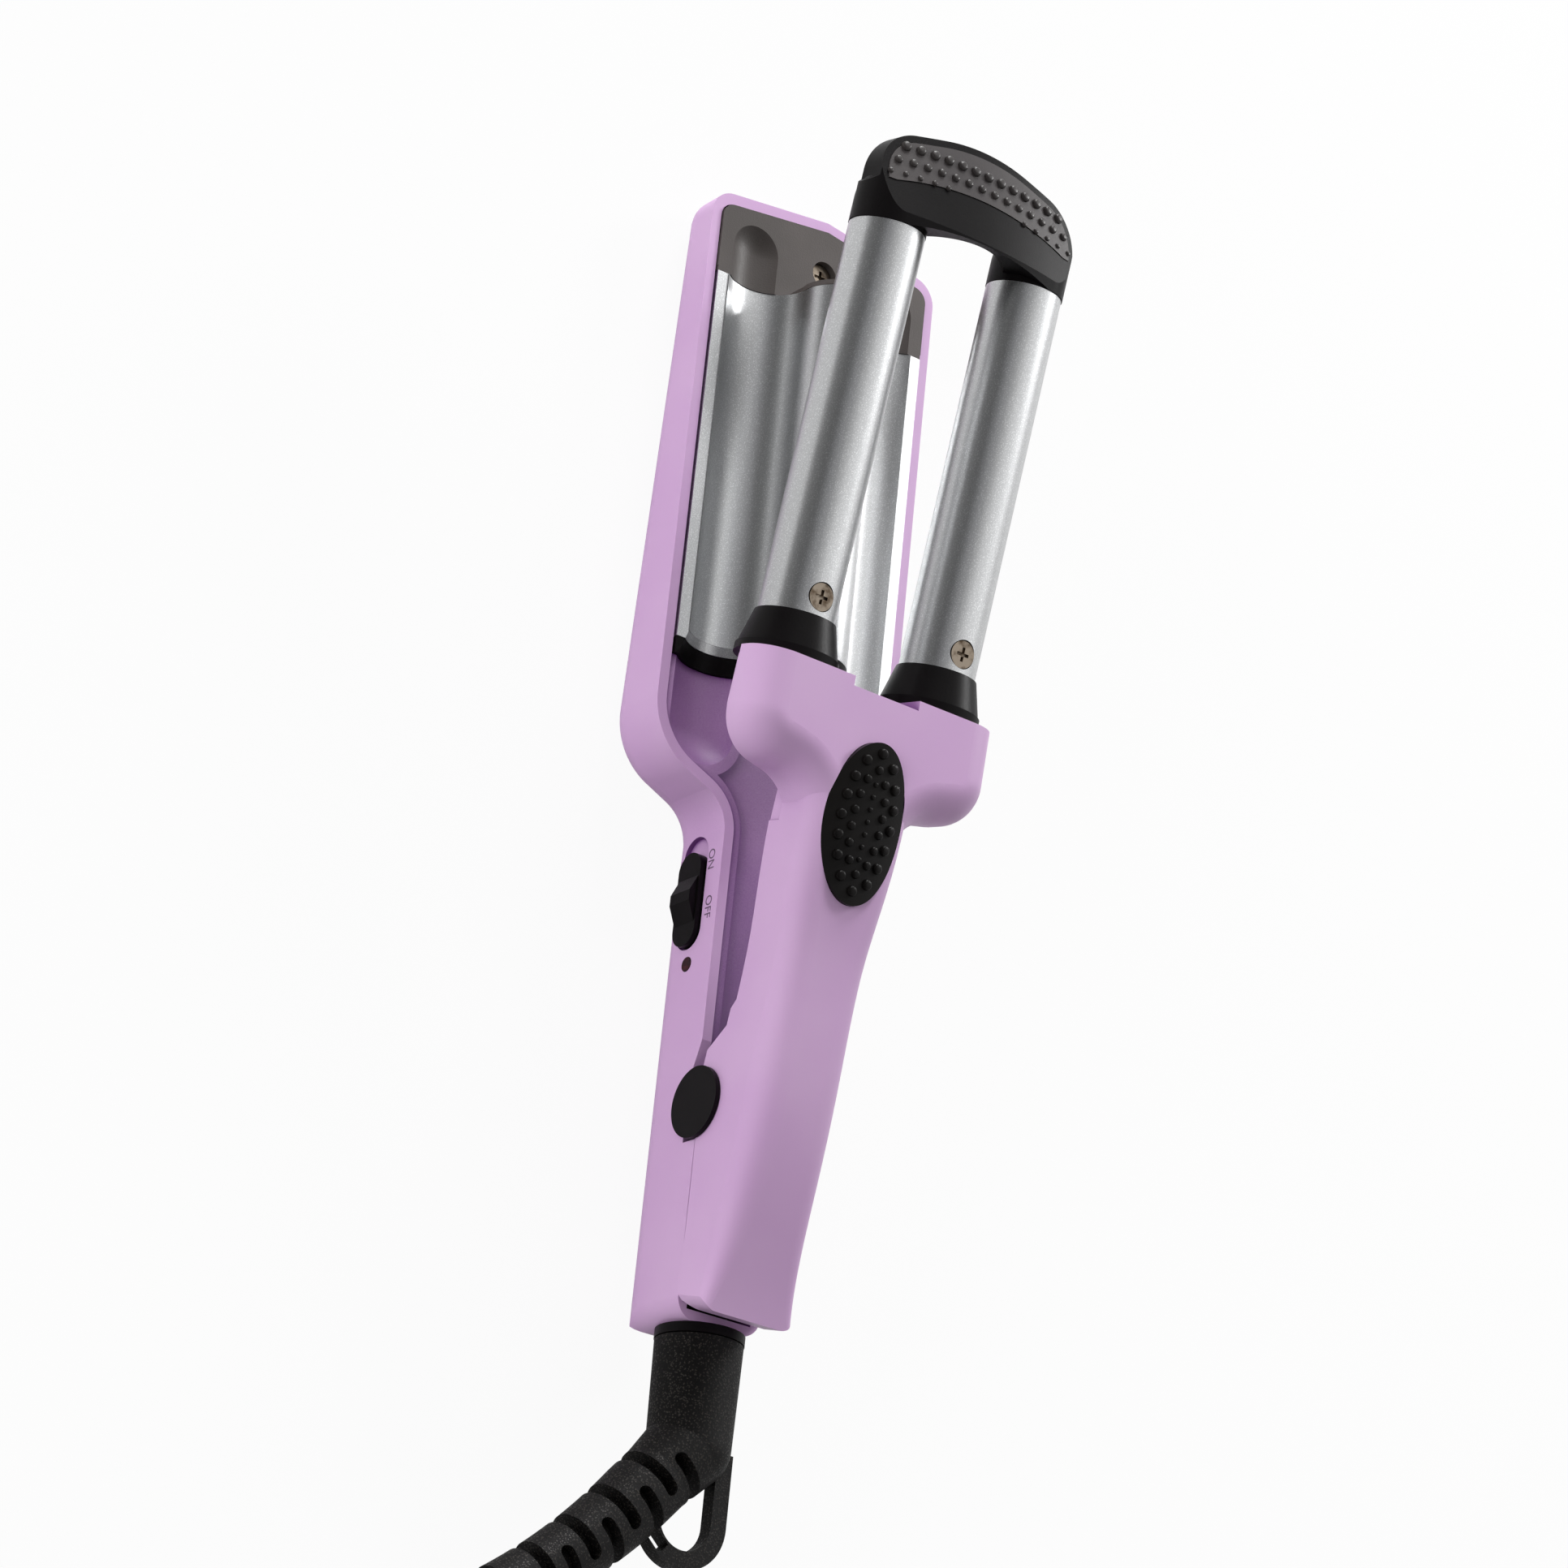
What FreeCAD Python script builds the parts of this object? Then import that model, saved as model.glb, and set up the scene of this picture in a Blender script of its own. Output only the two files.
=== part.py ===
import FreeCAD, Part
import math
import os
import Sketcher

# A handheld hair waver: a lower jaw with a deep wave plate, and an upper jaw with two barrels.
# Everything is modelled in the handle's own frame in millimetres: the origin is on the hinge line's
# foot in the plane of the lower shell's rim, +X runs to the tip, +Y to the switch side and +Z to the
# upper jaw. The upper jaw is modelled closed about the hinge pin, and then opened. At the end both
# are laid down on the flat back of the lower shell.

Vec = FreeCAD.Vector
doc = FreeCAD.newDocument("hair_waver")
sheet = doc.addObject("Spreadsheet::Sheet", "dims")

# Driving dimensions
SIZES = {
    # Lower shell, in plan
    "pan_half": 26.2,
    "tip_corner_x": 174.4,
    "tip_crown": 3.4,
    "tip_corner_round": 5.0,
    "neck_front_x": 63.5,
    "neck_back_x": 56.0,
    "neck_front_round": 13.5,
    "neck_back_round": 7.5,
    "handle_half": 8.8,
    "handle_end_x": -38.3,
    "handle_corner": 4.0,
    # Lower shell, from the side
    "handle_deep": 16.4,
    "knuckle_x": 45.0,
    "toe_deep": 10.4,
    "toe_x": 168.0,
    "back_round": 5.2,
    "shell_wall": 2.0,
    "rim_step_front_x": 12.0,
    "rim_step_back_x": 5.0,
    "rim_step": 2.6,
    "tail_rim": 1.0,
    "seat_gap": 0.2,
    "ledge_deep": 2.4,
    "ledge_lap": 1.2,
    # Posts and screws
    "post_round": 3.4,
    "post_top": -8.0,
    "screw_head": 2.5,
    "screw_head_high": 1.6,
    "screw_shank": 1.2,
    "screw_sink": 3.0,
    "screw_bite": 3.0,
    "screw_gap": 0.1,
    "well_gap": 0.2,
    "cross_long": 1.3,
    "cross_half": 0.3,
    "cross_deep": 0.7,
    "tip_screw_x": 166.5,
    # Inner cover
    "cover_sheet": 2.0,
    "cover_sink": 0.3,
    "cover_lip": 1.4,
    "cover_dish": 1.4,
    "cover_back": 8.0,
    "scoop_sheet": 1.5,
    "scoop_gap": 1.6,
    "lug_half": 6.4,
    "lug_thick": 2.6,
    "lug_round": 3.3,
    # Wave plate
    "plate_start_x": 84.0,
    "plate_end_x": 158.0,
    "plate_sheet": 1.2,
    "crest_round": 7.9,
    "trough_round": 8.0,
    "flange_out": 23.9,
    "flange_top": 0.6,
    "trim_long": 3.3,
    "trim_deep": 3.4,
    "trim_gap": 0.1,
    # Heating block under the plate
    "heater_x": 97.0,
    "heater_long": 53.0,
    "heater_half": 4.6,
    "heater_high": 3.8,
    "heater_gap": 0.05,
    "support_half": 4.0,
    "support_back": 10.0,
    "fuse_round": 1.6,
    "fuse_long": 9.0,
    # Barrels and their collars
    "barrel_round": 7.0,
    "barrel_wall": 0.8,
    "barrel_apart": 31.8,
    "barrel_start_x": 84.2,
    "barrel_end_x": 158.7,
    "barrel_up": 5.5,
    "cone_foot_x": 77.7,
    "cone_foot_round": 9.35,
    "cone_band": 1.5,
    "cone_top_x": 85.7,
    "cone_lip": 0.4,
    "shank_round": 6.6,
    "shank_back_x": 69.5,
    "spigot_long": 11.0,
    "spigot_gap": 0.1,
    "wire_bore": 2.6,
    "ring_reach": 3.5,
    "collar_room": 0.7,
    "barrel_screw_x": 89.2,
    "barrel_screw_seat": 5.1,
    "barrel_screw_long": 2.2,
    "barrel_heater_long": 50.0,
    "heater_gap": 2.8,
    "barrel_heater_half": 3.4,
    # Hinge
    "pivot_up": 1.0,
    "open_angle": 12.65,
    "pin_round": 2.0,
    "pin_gap": 0.05,
    "spring_gap": 0.6,
    "spring_wire": 0.45,
    "spring_leg": 7.5,
    "ear_round": 3.3,
    "cap_round": 6.5,
    "cap_thick": 0.9,
    "cap_gap": 0.25,
    # Lever
    "lever_top": 17.3,
    "lever_low": 4.0,
    "lever_half": 8.8,
    "lever_end_x": -35.5,
    "lever_tail_half": 9.8,
    "lever_tail_x": -12.0,
    "lever_tail_top": 16.8,
    "lever_back_top": 18.4,
    "lever_tail_edge": 1.6,
    "lever_tail_corner": 3.0,
    "lever_grip_x": 10.0,
    "lever_tail_round": 3.6,
    "lever_flare_x": 30.0,
    "head_root_x": 44.0,
    "neck_half": 10.4,
    "lever_wall": 1.8,
    "lever_round": 4.8,
    "stop_gap": 0.3,
    "head_half": 26.4,
    "head_front_x": 77.5,
    "head_top": 15.2,
    "head_seam": 7.0,
    "cover_plate_thick": 1.4,
    "lever_lip": 1.2,
    "head_back_x": 59.9,
    "head_back_round": 8.5,
    "head_neck_x": 56.5,
    "head_neck_round": 9.0,
    "head_round": 6.5,
    "ridge_front_x": 75.2,
    "head_slope_x": 64.0,
    "head_rise": 0.108,
    "web_setback": 1.8,
    "web_half": 7.2,
    "lobe_round": 8.2,
    "lobe_back_x": 69.0,
    "lever_strip": 1.6,
    "lever_post": 3.0,
    "lever_well_top": 6.2,
    "lever_post_low": 7.8,
    # Thumb pad
    "pad_x": 52.6,
    "pad_half_long": 14.6,
    "pad_half_wide": 8.2,
    "pad_proud": 0.9,
    "pad_deep": 1.2,
    "pad_crown_round": 24.0,
    # End bridge
    "bridge_side": 7.2,
    "bridge_tip_x": 175.3,
    "bridge_crown": 5.2,
    "bridge_crown_round": 40.0,
    "bridge_tip_round": 8.5,
    "bridge_top": 14.1,
    "bridge_low": 3.2,
    "web_low": 6.2,
    "bridge_nose_top": 7.4,
    "bridge_slope_x": 161.0,
    "bridge_bow": 68.0,
    "stub_end_x": 163.6,
    "stub_round": 7.1,
    "bridge_gap": 0.1,
    "bridge_step_x": 165.6,
    "bridge_step": 0.9,
    "arch_x": 160.7,
    "arch_top": 12.5,
    "arch_round": 12.0,
    "arch_dip": 40.0,
    "web_back_x": 172.2,
    "grip_x": 169.3,
    "grip_edge": 1.3,
    "grip_thick": 1.4,
    "grip_proud": 0.15,
    # Tip cap
    "cap_top": 0.5,
    "cap_low": -4.6,
    "cap_start_x": 159.0,
    "tip_scoop_gap": 0.75,
    "tip_scoop_reach": 1.5,
    # Slide switch and lamp
    "knob_low_x": 30.8,
    "knob_high_x": 48.6,
    "knob_wide": 6.6,
    "knob_z": -8.0,
    "knob_proud": 1.1,
    "knob_ridge": 2.6,
    "knob_travel": 3.0,
    "recess_deep": 0.9,
    "recess_gap": 0.35,
    "housing_deep": 5.6,
    "stem_half": 1.05,
    # Board and lamp
    "board_z": -10.6,
    "board_sheet": 1.6,
    "board_half": 5.6,
    "lens_x": 27.6,
    "lens_z": -7.4,
    "lens_round": 1.4,
    # Cord end
    "swivel_z": -4.0,
    "collar_round": 7.85,
    "bush_flange": 1.7,
    "bush_wall": 1.0,
    "bush_long": 6.9,
    "bush_gap": 0.2,
    "elbow_x": -58.2,
    "elbow_turn": 41.5,
    "boot_taper": 9.0,
    "knee_round": 7.4,
    "boot_round": 6.5,
    "boot_end_round": 5.0,
    "boot_straight": 15.0,
    "boot_bend_round": 121.0,
    "boot_bend_turn": 18.7,
    "boot_core": 3.4,
    "slot_wide": 2.5,
    "slot_first": 6.9,
    "slot_step": 4.75,
    "slot_lap": 2.5,
    "stem_round": 3.4,
    "stem_bore": 2.0,
    "stem_back_x": -46.0,
    "stem_front_x": -31.0,
    "stem_flange": 4.8,
    "loop_x": -71.0,
    "loop_out": 8.5,
    "loop_in": 5.3,
    "loop_thick": 3.0,
    "cord_round": 2.75,
    # Put-away cord, from the point on the surface under the middle of its coil
    "cord_exit_run": 18.0,
    "coil_middle": 31.5,
    "coil_turns": 2,
    "coil_pitch": 6.1,
    "coil_lift": 0.9,
    "tie_wide": 5.0,
    "tie_thick": 0.6,
    "tie_gap": 0.3,
    "plug_half": 11.0,
    "plug_thick": 13.0,
    "plug_body_long": 28.0,
    "plug_relief_long": 14.0,
    "blade_apart": 12.7,
    "blade_wide": 6.3,
    "blade_thick": 1.5,
    "blade_long": 16.0,
    # Where the part lies on its back
    "rest_x": 105.0,
}

for row, (alias, value) in enumerate(SIZES.items(), start=1):
    sheet.set("A%d" % row, alias)
    sheet.set("B%d" % row, str(value))
    sheet.setAlias("B%d" % row, alias)
doc.recompute()


def val(expression):
    """The number that an expression of sheet cells has now."""
    return float(sheet.evalExpression(dims(expression)))


def dims(expression):
    """Write each alias in an expression with its sheet's name."""
    words = []
    word = ""
    for mark in str(expression) + " ":
        if mark.isalnum() or mark in "_.":
            word += mark
            continue
        words.append("dims." + word if word in SIZES else word)
        words.append(mark)
        word = ""
    return "".join(words).strip()


def bind(thing, **sizes):
    """Bind properties of a document object to expressions of sheet cells."""
    for name, expression in sizes.items():
        thing.setExpression(name.replace("__", "."), dims(expression))
    return thing


# Solids made of primitives
def block(name, x, y, z):
    """A block between pairs of expressions along each axis."""
    solid = doc.addObject("Part::Box", name)
    for side, (low, high) in zip(("Length", "Width", "Height"), (x, y, z)):
        bind(solid, **{side: "(%s) - (%s)" % (high, low)})
    for axis, (low, high) in zip("xyz", (x, y, z)):
        bind(solid, **{"Placement__Base__" + axis: low})
    return solid


AXES = {
    "x": FreeCAD.Rotation(Vec(0, 1, 0), 90),
    "y": FreeCAD.Rotation(Vec(1, 0, 0), -90),
    "z": FreeCAD.Rotation(),
}


def place(solid, axis, at):
    """Turn a solid's own axis to x, y or z and move it to three expressions."""
    solid.Placement = FreeCAD.Placement(Vec(), AXES[axis])
    for letter, expression in zip("xyz", at):
        bind(solid, **{"Placement__Base__" + letter: expression})
    return solid


def rod(name, axis, at, radius, length):
    """A cylinder from a point along x, y or z."""
    solid = doc.addObject("Part::Cylinder", name)
    bind(solid, Radius=radius, Height=length)
    return place(solid, axis, at)


def cone(name, axis, at, foot, top, length):
    """A cone frustum from a point along x, y or z."""
    solid = doc.addObject("Part::Cone", name)
    bind(solid, Radius1=foot, Radius2=top, Height=length)
    return place(solid, axis, at)


def ball(name, at, radius):
    """A sphere about a point."""
    solid = doc.addObject("Part::Sphere", name)
    bind(solid, Radius=radius)
    return place(solid, "z", at)


def join(name, *solids):
    """One solid from several that meet or overlap."""
    result = doc.addObject("Part::MultiFuse", name)
    result.Shapes = list(solids)
    result.Refine = True
    return result


def cut(name, solid, *tools):
    """A solid less one or more others."""
    result = doc.addObject("Part::Cut", name)
    result.Base = solid
    result.Tool = tools[0] if len(tools) == 1 else join(name + "_tools", *tools)
    return result


def common(name, *solids):
    """What several solids share."""
    result = doc.addObject("Part::MultiCommon", name)
    result.Shapes = list(solids)
    return result


def group(name, *solids):
    """Separate solids that share one node."""
    result = doc.addObject("Part::Compound", name)
    result.Links = list(solids)
    return result


def stadium(name, x_low, x_high, z_middle, half, y_low, y_high):
    """An upright slot form with round ends, from one level of y to another."""
    deep = "(%s) - (%s)" % (y_high, y_low)
    first = rod(name + "_first", "y", ("(%s) + (%s)" % (x_low, half), y_low, z_middle), half, deep)
    last = rod(name + "_last", "y", ("(%s) - (%s)" % (x_high, half), y_low, z_middle), half, deep)
    middle = block(
        name + "_middle",
        ("(%s) + (%s)" % (x_low, half), "(%s) - (%s)" % (x_high, half)),
        (y_low, y_high),
        ("(%s) - (%s)" % (z_middle, half), "(%s) + (%s)" % (z_middle, half)),
    )
    return join(name, first, last, middle)


# Solids made of sketches
def sketch(body, plane, corners, level="0"):
    """A closed outline of straight lines on one of a body's planes, each corner two expressions."""
    outline = body.newObject("Sketcher::SketchObject", body.Name + "_outline")
    origin_plane = [each for each in body.Origin.OriginFeatures if each.Role == plane][0]
    outline.AttachmentSupport = [(origin_plane, "")]
    outline.MapMode = "FlatFace"
    outline.setExpression("AttachmentOffset.Base.z", dims(level))
    points = [Vec(val(across), val(up), 0) for across, up in corners]
    count = len(points)
    for index in range(count):
        line = Part.LineSegment(points[index], points[(index + 1) % count])
        outline.addGeometry(line, False)
    for index in range(count):
        meet = Sketcher.Constraint("Coincident", index, 2, (index + 1) % count, 1)
        outline.addConstraint(meet)
    for index, (across, up) in enumerate(corners):
        for kind, expression in (("DistanceX", across), ("DistanceY", up)):
            rule = Sketcher.Constraint(kind, -1, 1, index, 1, val(expression))
            number = outline.addConstraint(rule)
            outline.setExpression("Constraints[%d]" % number, dims(expression))
    return outline


def pad(body, plane, corners, low, high):
    """Extrude an outline from one level to another along its plane's normal."""
    feature = body.newObject("PartDesign::Pad", body.Name + "_pad")
    feature.Profile = sketch(body, plane, corners, low)
    bind(feature, Length="(%s) - (%s)" % (high, low))
    doc.recompute()
    return feature


def pocket(body, plane, corners, half):
    """Cut an outline through a body, evenly to both sides of its plane."""
    before = body.Shape.Volume
    feature = body.newObject("PartDesign::Pocket", body.Name + "_pocket")
    feature.Profile = sketch(body, plane, corners)
    feature.Midplane = True
    bind(feature, Length="2 * (%s)" % half)
    doc.recompute()
    if body.Shape.Volume > before - 0.001:
        raise RuntimeError(feature.Name + " cuts nothing")
    return feature


def near(value, goal):
    return abs(value - goal) < 0.01


def upright(across, up):
    """A test for edges along Z that stand over a point, given as two expressions."""

    def test(edge):
        ends = [vertex.Point for vertex in edge.Vertexes]
        over = [near(end.x, val(across)) and near(abs(end.y), val(up)) for end in ends]
        return len(ends) == 2 and all(over)

    return test


def soften(body, radius, test):
    """Round the edges of a body that a test picks."""
    base = body.Tip
    names = []
    for number, edge in enumerate(base.Shape.Edges, start=1):
        if test(edge):
            names.append("Edge%d" % number)
    if not names:
        raise RuntimeError("no edge of %s to round" % body.Name)
    feature = body.newObject("PartDesign::Fillet", body.Name + "_round")
    feature.Base = (base, names)
    bind(feature, Radius=radius)
    doc.recompute()
    return feature


# Lower shell
def pan_plan(inset):
    """The plan of the lower shell, drawn in by an inset."""
    wide = "pan_half - (%s)" % inset
    slim = "handle_half - (%s)" % inset
    corner = "tip_corner_x - (%s)" % inset
    front = "neck_front_x + (%s) * 0.7" % inset
    back = "neck_back_x + (%s) * 0.7" % inset
    end = "handle_end_x + (%s)" % inset
    half = [(end, slim), (back, slim), (front, wide), (corner, wide)]
    mirrored = [(across, "-(%s)" % up) for across, up in reversed(half)]
    return half + [("%s + tip_crown" % corner, "0")] + mirrored


def pan_corners(body, inset):
    """Round the upright edges of a body that has the lower shell's plan."""
    wide = "pan_half - (%s)" % inset
    front = "neck_front_x + (%s) * 0.7" % inset
    back = "neck_back_x + (%s) * 0.7" % inset
    soften(body, "neck_front_round - (%s)" % inset, upright(front, wide))
    soften(body, "neck_back_round + (%s)" % inset, upright(back, "handle_half - (%s)" % inset))
    corner = upright("tip_corner_x - (%s)" % inset, wide)
    soften(body, "tip_corner_round - (%s)" % inset, corner)


def pan_slab(name, inset, low, high):
    """A slab with the lower shell's plan between two levels."""
    body = doc.addObject("PartDesign::Body", name)
    doc.recompute()
    pad(body, "XY_Plane", pan_plan(inset), low, high)
    pan_corners(body, inset)
    return body


BACK_SLOPE = "(handle_deep - toe_deep) / (toe_x - knuckle_x)"


def pan_block(name, inset, top):
    """The lower shell's form with its flat, sloping back and round lower edges."""
    body = pan_slab(name, inset, "-handle_deep - 2", top)
    handle = "(%s) - handle_deep" % inset
    far = "(%s) - toe_deep + 12 * %s" % (inset, BACK_SLOPE)
    beyond = "-handle_deep - 8"
    under_cut = [
        ("handle_end_x - 5", handle),
        ("knuckle_x", handle),
        ("toe_x + 12", far),
        ("toe_x + 12", beyond),
        ("handle_end_x - 5", beyond),
    ]
    pocket(body, "XZ_Plane", under_cut, "pan_half + 4")
    lowest = body.Shape.BoundBox.ZMin

    def on_back(edge):
        if any(end.Z > val(far) + 0.6 for end in edge.Vertexes):
            return False
        middle = edge.valueAt((edge.FirstParameter + edge.LastParameter) / 2)
        return middle.z < lowest + 8 and not near(middle.x, val("knuckle_x"))

    soften(body, "back_round - (%s) * 0.6" % inset, on_back)
    return body


SHELL_SCREWS = [("68", "17"), ("68", "-17"), ("-21", "0")]
SUPPORT_FEET = ["104", "140"]
BOARD_POSTS = ["-8", "22"]
KNOB_STEM = ("37", "42")
LEVER_SCREWS = ["24", "34"]
SIDES = {"left": 1, "right": -1}
AXIS_UP = "pivot_up + barrel_up"


def under(across):
    """The level of the shell's back at a place along it."""
    return "-handle_deep + max(0; %s - knuckle_x) * %s" % (across, BACK_SLOPE)


def barrel_side(sign):
    """The y of a barrel's axis."""
    return "%d * barrel_apart / 2" % sign


def post(name, across, aside, radius, top):
    """A post that stands on the inside of the shell's back."""
    foot = "%s + shell_wall - 0.6" % under(across)
    return rod(name, "z", (across, aside, foot), radius, "(%s) - (%s)" % (top, foot))


def knob_slot(name, deep):
    """The slot that the knob's stem runs in, from a depth inside the shell's wall."""
    return block(
        name,
        ("%s - recess_gap" % KNOB_STEM[0], "%s + knob_travel + recess_gap" % KNOB_STEM[1]),
        ("handle_half - shell_wall - (%s)" % deep, "handle_half"),
        ("knob_z - stem_half - 0.3", "knob_z + stem_half + 0.3"),
    )


def tail_corners(name, end, half, radius):
    """The tools that round the two upright corners of a tail."""
    tools = []
    for side, sign in SIDES.items():
        inner, outer = "%s - %s" % (half, radius), "%s + 1" % half
        y = (inner, outer) if sign > 0 else ("-(%s)" % outer, "-(%s)" % inner)
        corner = block("%s_%s" % (name, side), (end + " - 1", "%s + %s" % (end, radius)), y, ("-30", "30"))
        at = ("%s + %s" % (end, radius), "%d * (%s)" % (sign, inner), "-31")
        tools.append(cut("%s_%s_tool" % (name, side), corner, rod("%s_%s_rod" % (name, side), "z", at, radius, "62")))
    return tools


def lower_shell():
    """The pan, neck and handle in one moulding, open to the upper jaw."""
    outer = pan_block("shell_outer", "0", "tail_rim")
    inner = pan_block("shell_inner", "shell_wall", "tail_rim + 6")
    parts = [cut("shell_hollow", outer, inner)]
    ledge_x = ("plate_start_x", "plate_end_x")
    ledge_z = ("-ledge_deep", "flange_top - plate_sheet")
    ledge_in, ledge_out = "flange_out - ledge_lap", "pan_half - shell_wall + 0.4"
    parts.append(block("ledge_left", ledge_x, (ledge_in, ledge_out), ledge_z))
    right = ("-(%s)" % ledge_out, "-(%s)" % ledge_in)
    parts.append(block("ledge_right", ledge_x, right, ledge_z))
    tools = []
    for number, (across, aside) in enumerate(SHELL_SCREWS):
        parts.append(post("shell_post%d" % number, across, aside, "post_round", "post_top"))
        at = (across, aside, "-handle_deep - 4")
        seat = "%s + screw_sink + 4 + handle_deep" % under(across)
        tools.append(rod("shell_well%d" % number, "z", at, "screw_head + well_gap", seat))
        way = "handle_deep + 6 + post_top"
        tools.append(rod("shell_way%d" % number, "z", at, "screw_shank + screw_gap", way))
    for number, across in enumerate(SUPPORT_FEET):
        parts.append(post("support_post%d" % number, across, "0", "post_round", "post_top"))
    for number, across in enumerate(BOARD_POSTS):
        parts.append(post("board_post%d" % number, across, "0", "2.2", "board_z"))
    parts.append(post("tip_post", "tip_screw_x", "0", "post_round", "cap_low"))
    pilot_at = ("tip_screw_x", "0", "cap_low - screw_bite")
    tools.append(rod("tip_pilot", "z", pilot_at, "screw_shank + screw_gap", "screw_bite + 1"))
    rim = doc.addObject("PartDesign::Body", "rim_relief")
    doc.recompute()
    above = "tail_rim + 12"
    edge = [
        ("-cap_round", "-rim_step"),
        ("rim_step_back_x", "-rim_step"),
        ("rim_step_front_x", "0"),
        ("toe_x + 20", "0"),
        ("toe_x + 20", above),
        ("-cap_round", above),
    ]
    pad(rim, "XZ_Plane", edge, "-(pan_half + 4)", "pan_half + 4")
    tools.append(rim)
    recess = stadium(
        "knob_recess",
        "knob_low_x - recess_gap",
        "knob_high_x + knob_travel + recess_gap",
        "knob_z",
        "knob_wide / 2 + recess_gap",
        "handle_half - recess_deep",
        "handle_half + 2",
    )
    tools += [recess, knob_slot("shell_slot", "1")]
    lens_at = ("lens_x", "handle_half - shell_wall - 1", "lens_z")
    tools.append(rod("lens_hole", "y", lens_at, "lens_round", "shell_wall + 2"))
    bush_at = ("handle_end_x - 1", "0", "swivel_z")
    bush_way = "stem_round + bush_wall + 0.05"
    tools.append(rod("bush_hole", "x", bush_at, bush_way, "shell_wall + 2"))
    tools += tail_corners("handle_corner_cut", "handle_end_x", "handle_half", "handle_corner")
    return cut("lower_shell_solid", join("shell_with_posts", *parts), *tools)


# What is fixed in the lower shell
def scoop_tools(name, radius):
    """Two long round-ended rods along the barrel axes, which hollow or form the scoops."""
    tools = []
    for side, sign in SIDES.items():
        at = ("lobe_back_x", barrel_side(sign), AXIS_UP)
        tools.append(rod("%s_%s" % (name, side), "x", at, radius, "60"))
        tools.append(ball("%s_%s_end" % (name, side), at, radius))
    return tools


def inner_cover():
    """The cover inside the rim, with a lip, two scoops for the lobes and the hinge lugs."""
    inset = "shell_wall + seat_gap"
    top = "-cover_sink"
    floor = "%s - cover_dish" % top
    front = "plate_start_x - trim_long - trim_gap"
    slab = pan_slab("cover_slab", inset, "%s - cover_sheet" % floor, top)
    dish = pan_slab("cover_dish_slab", inset + " + cover_lip", floor, "tail_rim + 2")
    reach = block("cover_reach", ("handle_end_x + cover_back", front), ("-40", "40"), ("-30", "4"))
    sheet_part = cut("cover_sheet_part", common("cover_cut", slab, reach), dish)
    outer = scoop_tools("scoop", "lobe_round + scoop_gap + scoop_sheet")
    hollow = scoop_tools("scoop_hollow", "lobe_round + scoop_gap")
    deep = pan_slab("scoop_slab", inset, "-12", top)
    scoop_reach = block("scoop_reach", ("50", front), ("-40", "40"), ("-12", "4"))
    scoops = common("scoops", join("scoop_outers", *outer), common("scoop_room", deep, scoop_reach))
    parts = [sheet_part, scoops]
    rise = ("%s - cover_sheet / 2" % floor, "pivot_up")
    lug_z = "pivot_up"
    for side, low in (("left", "lug_half - lug_thick"), ("right", "-lug_half")):
        span = (low, "%s + lug_thick" % low)
        parts.append(block("lug_" + side, ("-lug_round", "lug_round"), span, rise))
        parts.append(rod("lug_head_" + side, "y", ("0", low, lug_z), "lug_round", "lug_thick"))
    tools = [rod("lug_bore", "y", ("0", "-20", lug_z), "pin_round + pin_gap", "40")]
    well = "lug_half - lug_thick"
    half = "pin_round + spring_gap + 2 * spring_wire + 0.5"
    well_x = ("-(%s)" % half, "spring_leg + 0.5")
    tools.append(block("spring_well", well_x, ("-(%s)" % well, well), ("-12", "2")))
    for number, (across, aside) in enumerate(SHELL_SCREWS):
        at = (across, aside, "post_top")
        height = "%s - cover_sheet / 2 - post_top" % floor
        parts.append(rod("cover_post%d" % number, "z", at, "post_round", height))
        low_at = (across, aside, "post_top - 1")
        bite = "screw_bite + 1.2"
        tools.append(rod("cover_pilot%d" % number, "z", low_at, "screw_shank + screw_gap", bite))
    return cut("inner_cover_solid", join("cover_whole", *parts), *tools, *hollow)


def trough_tools(name, radius, x_low, long):
    """Two rods along the troughs of the wave."""
    tools = []
    for side, sign in SIDES.items():
        at = (x_low, barrel_side(sign), AXIS_UP)
        tools.append(rod("%s_%s" % (name, side), "x", at, radius, long))
    return tools


def collar_rooms(name):
    """Two cones that leave room for the collars in the closed jaw."""
    tools = []
    for side, sign in SIDES.items():
        at = ("cone_foot_x", barrel_side(sign), AXIS_UP)
        foot = "cone_foot_round + collar_room"
        top = "barrel_round + cone_lip + collar_room"
        tools.append(cone("%s_%s" % (name, side), "x", at, foot, top, "cone_top_x - cone_foot_x"))
    return tools


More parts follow.
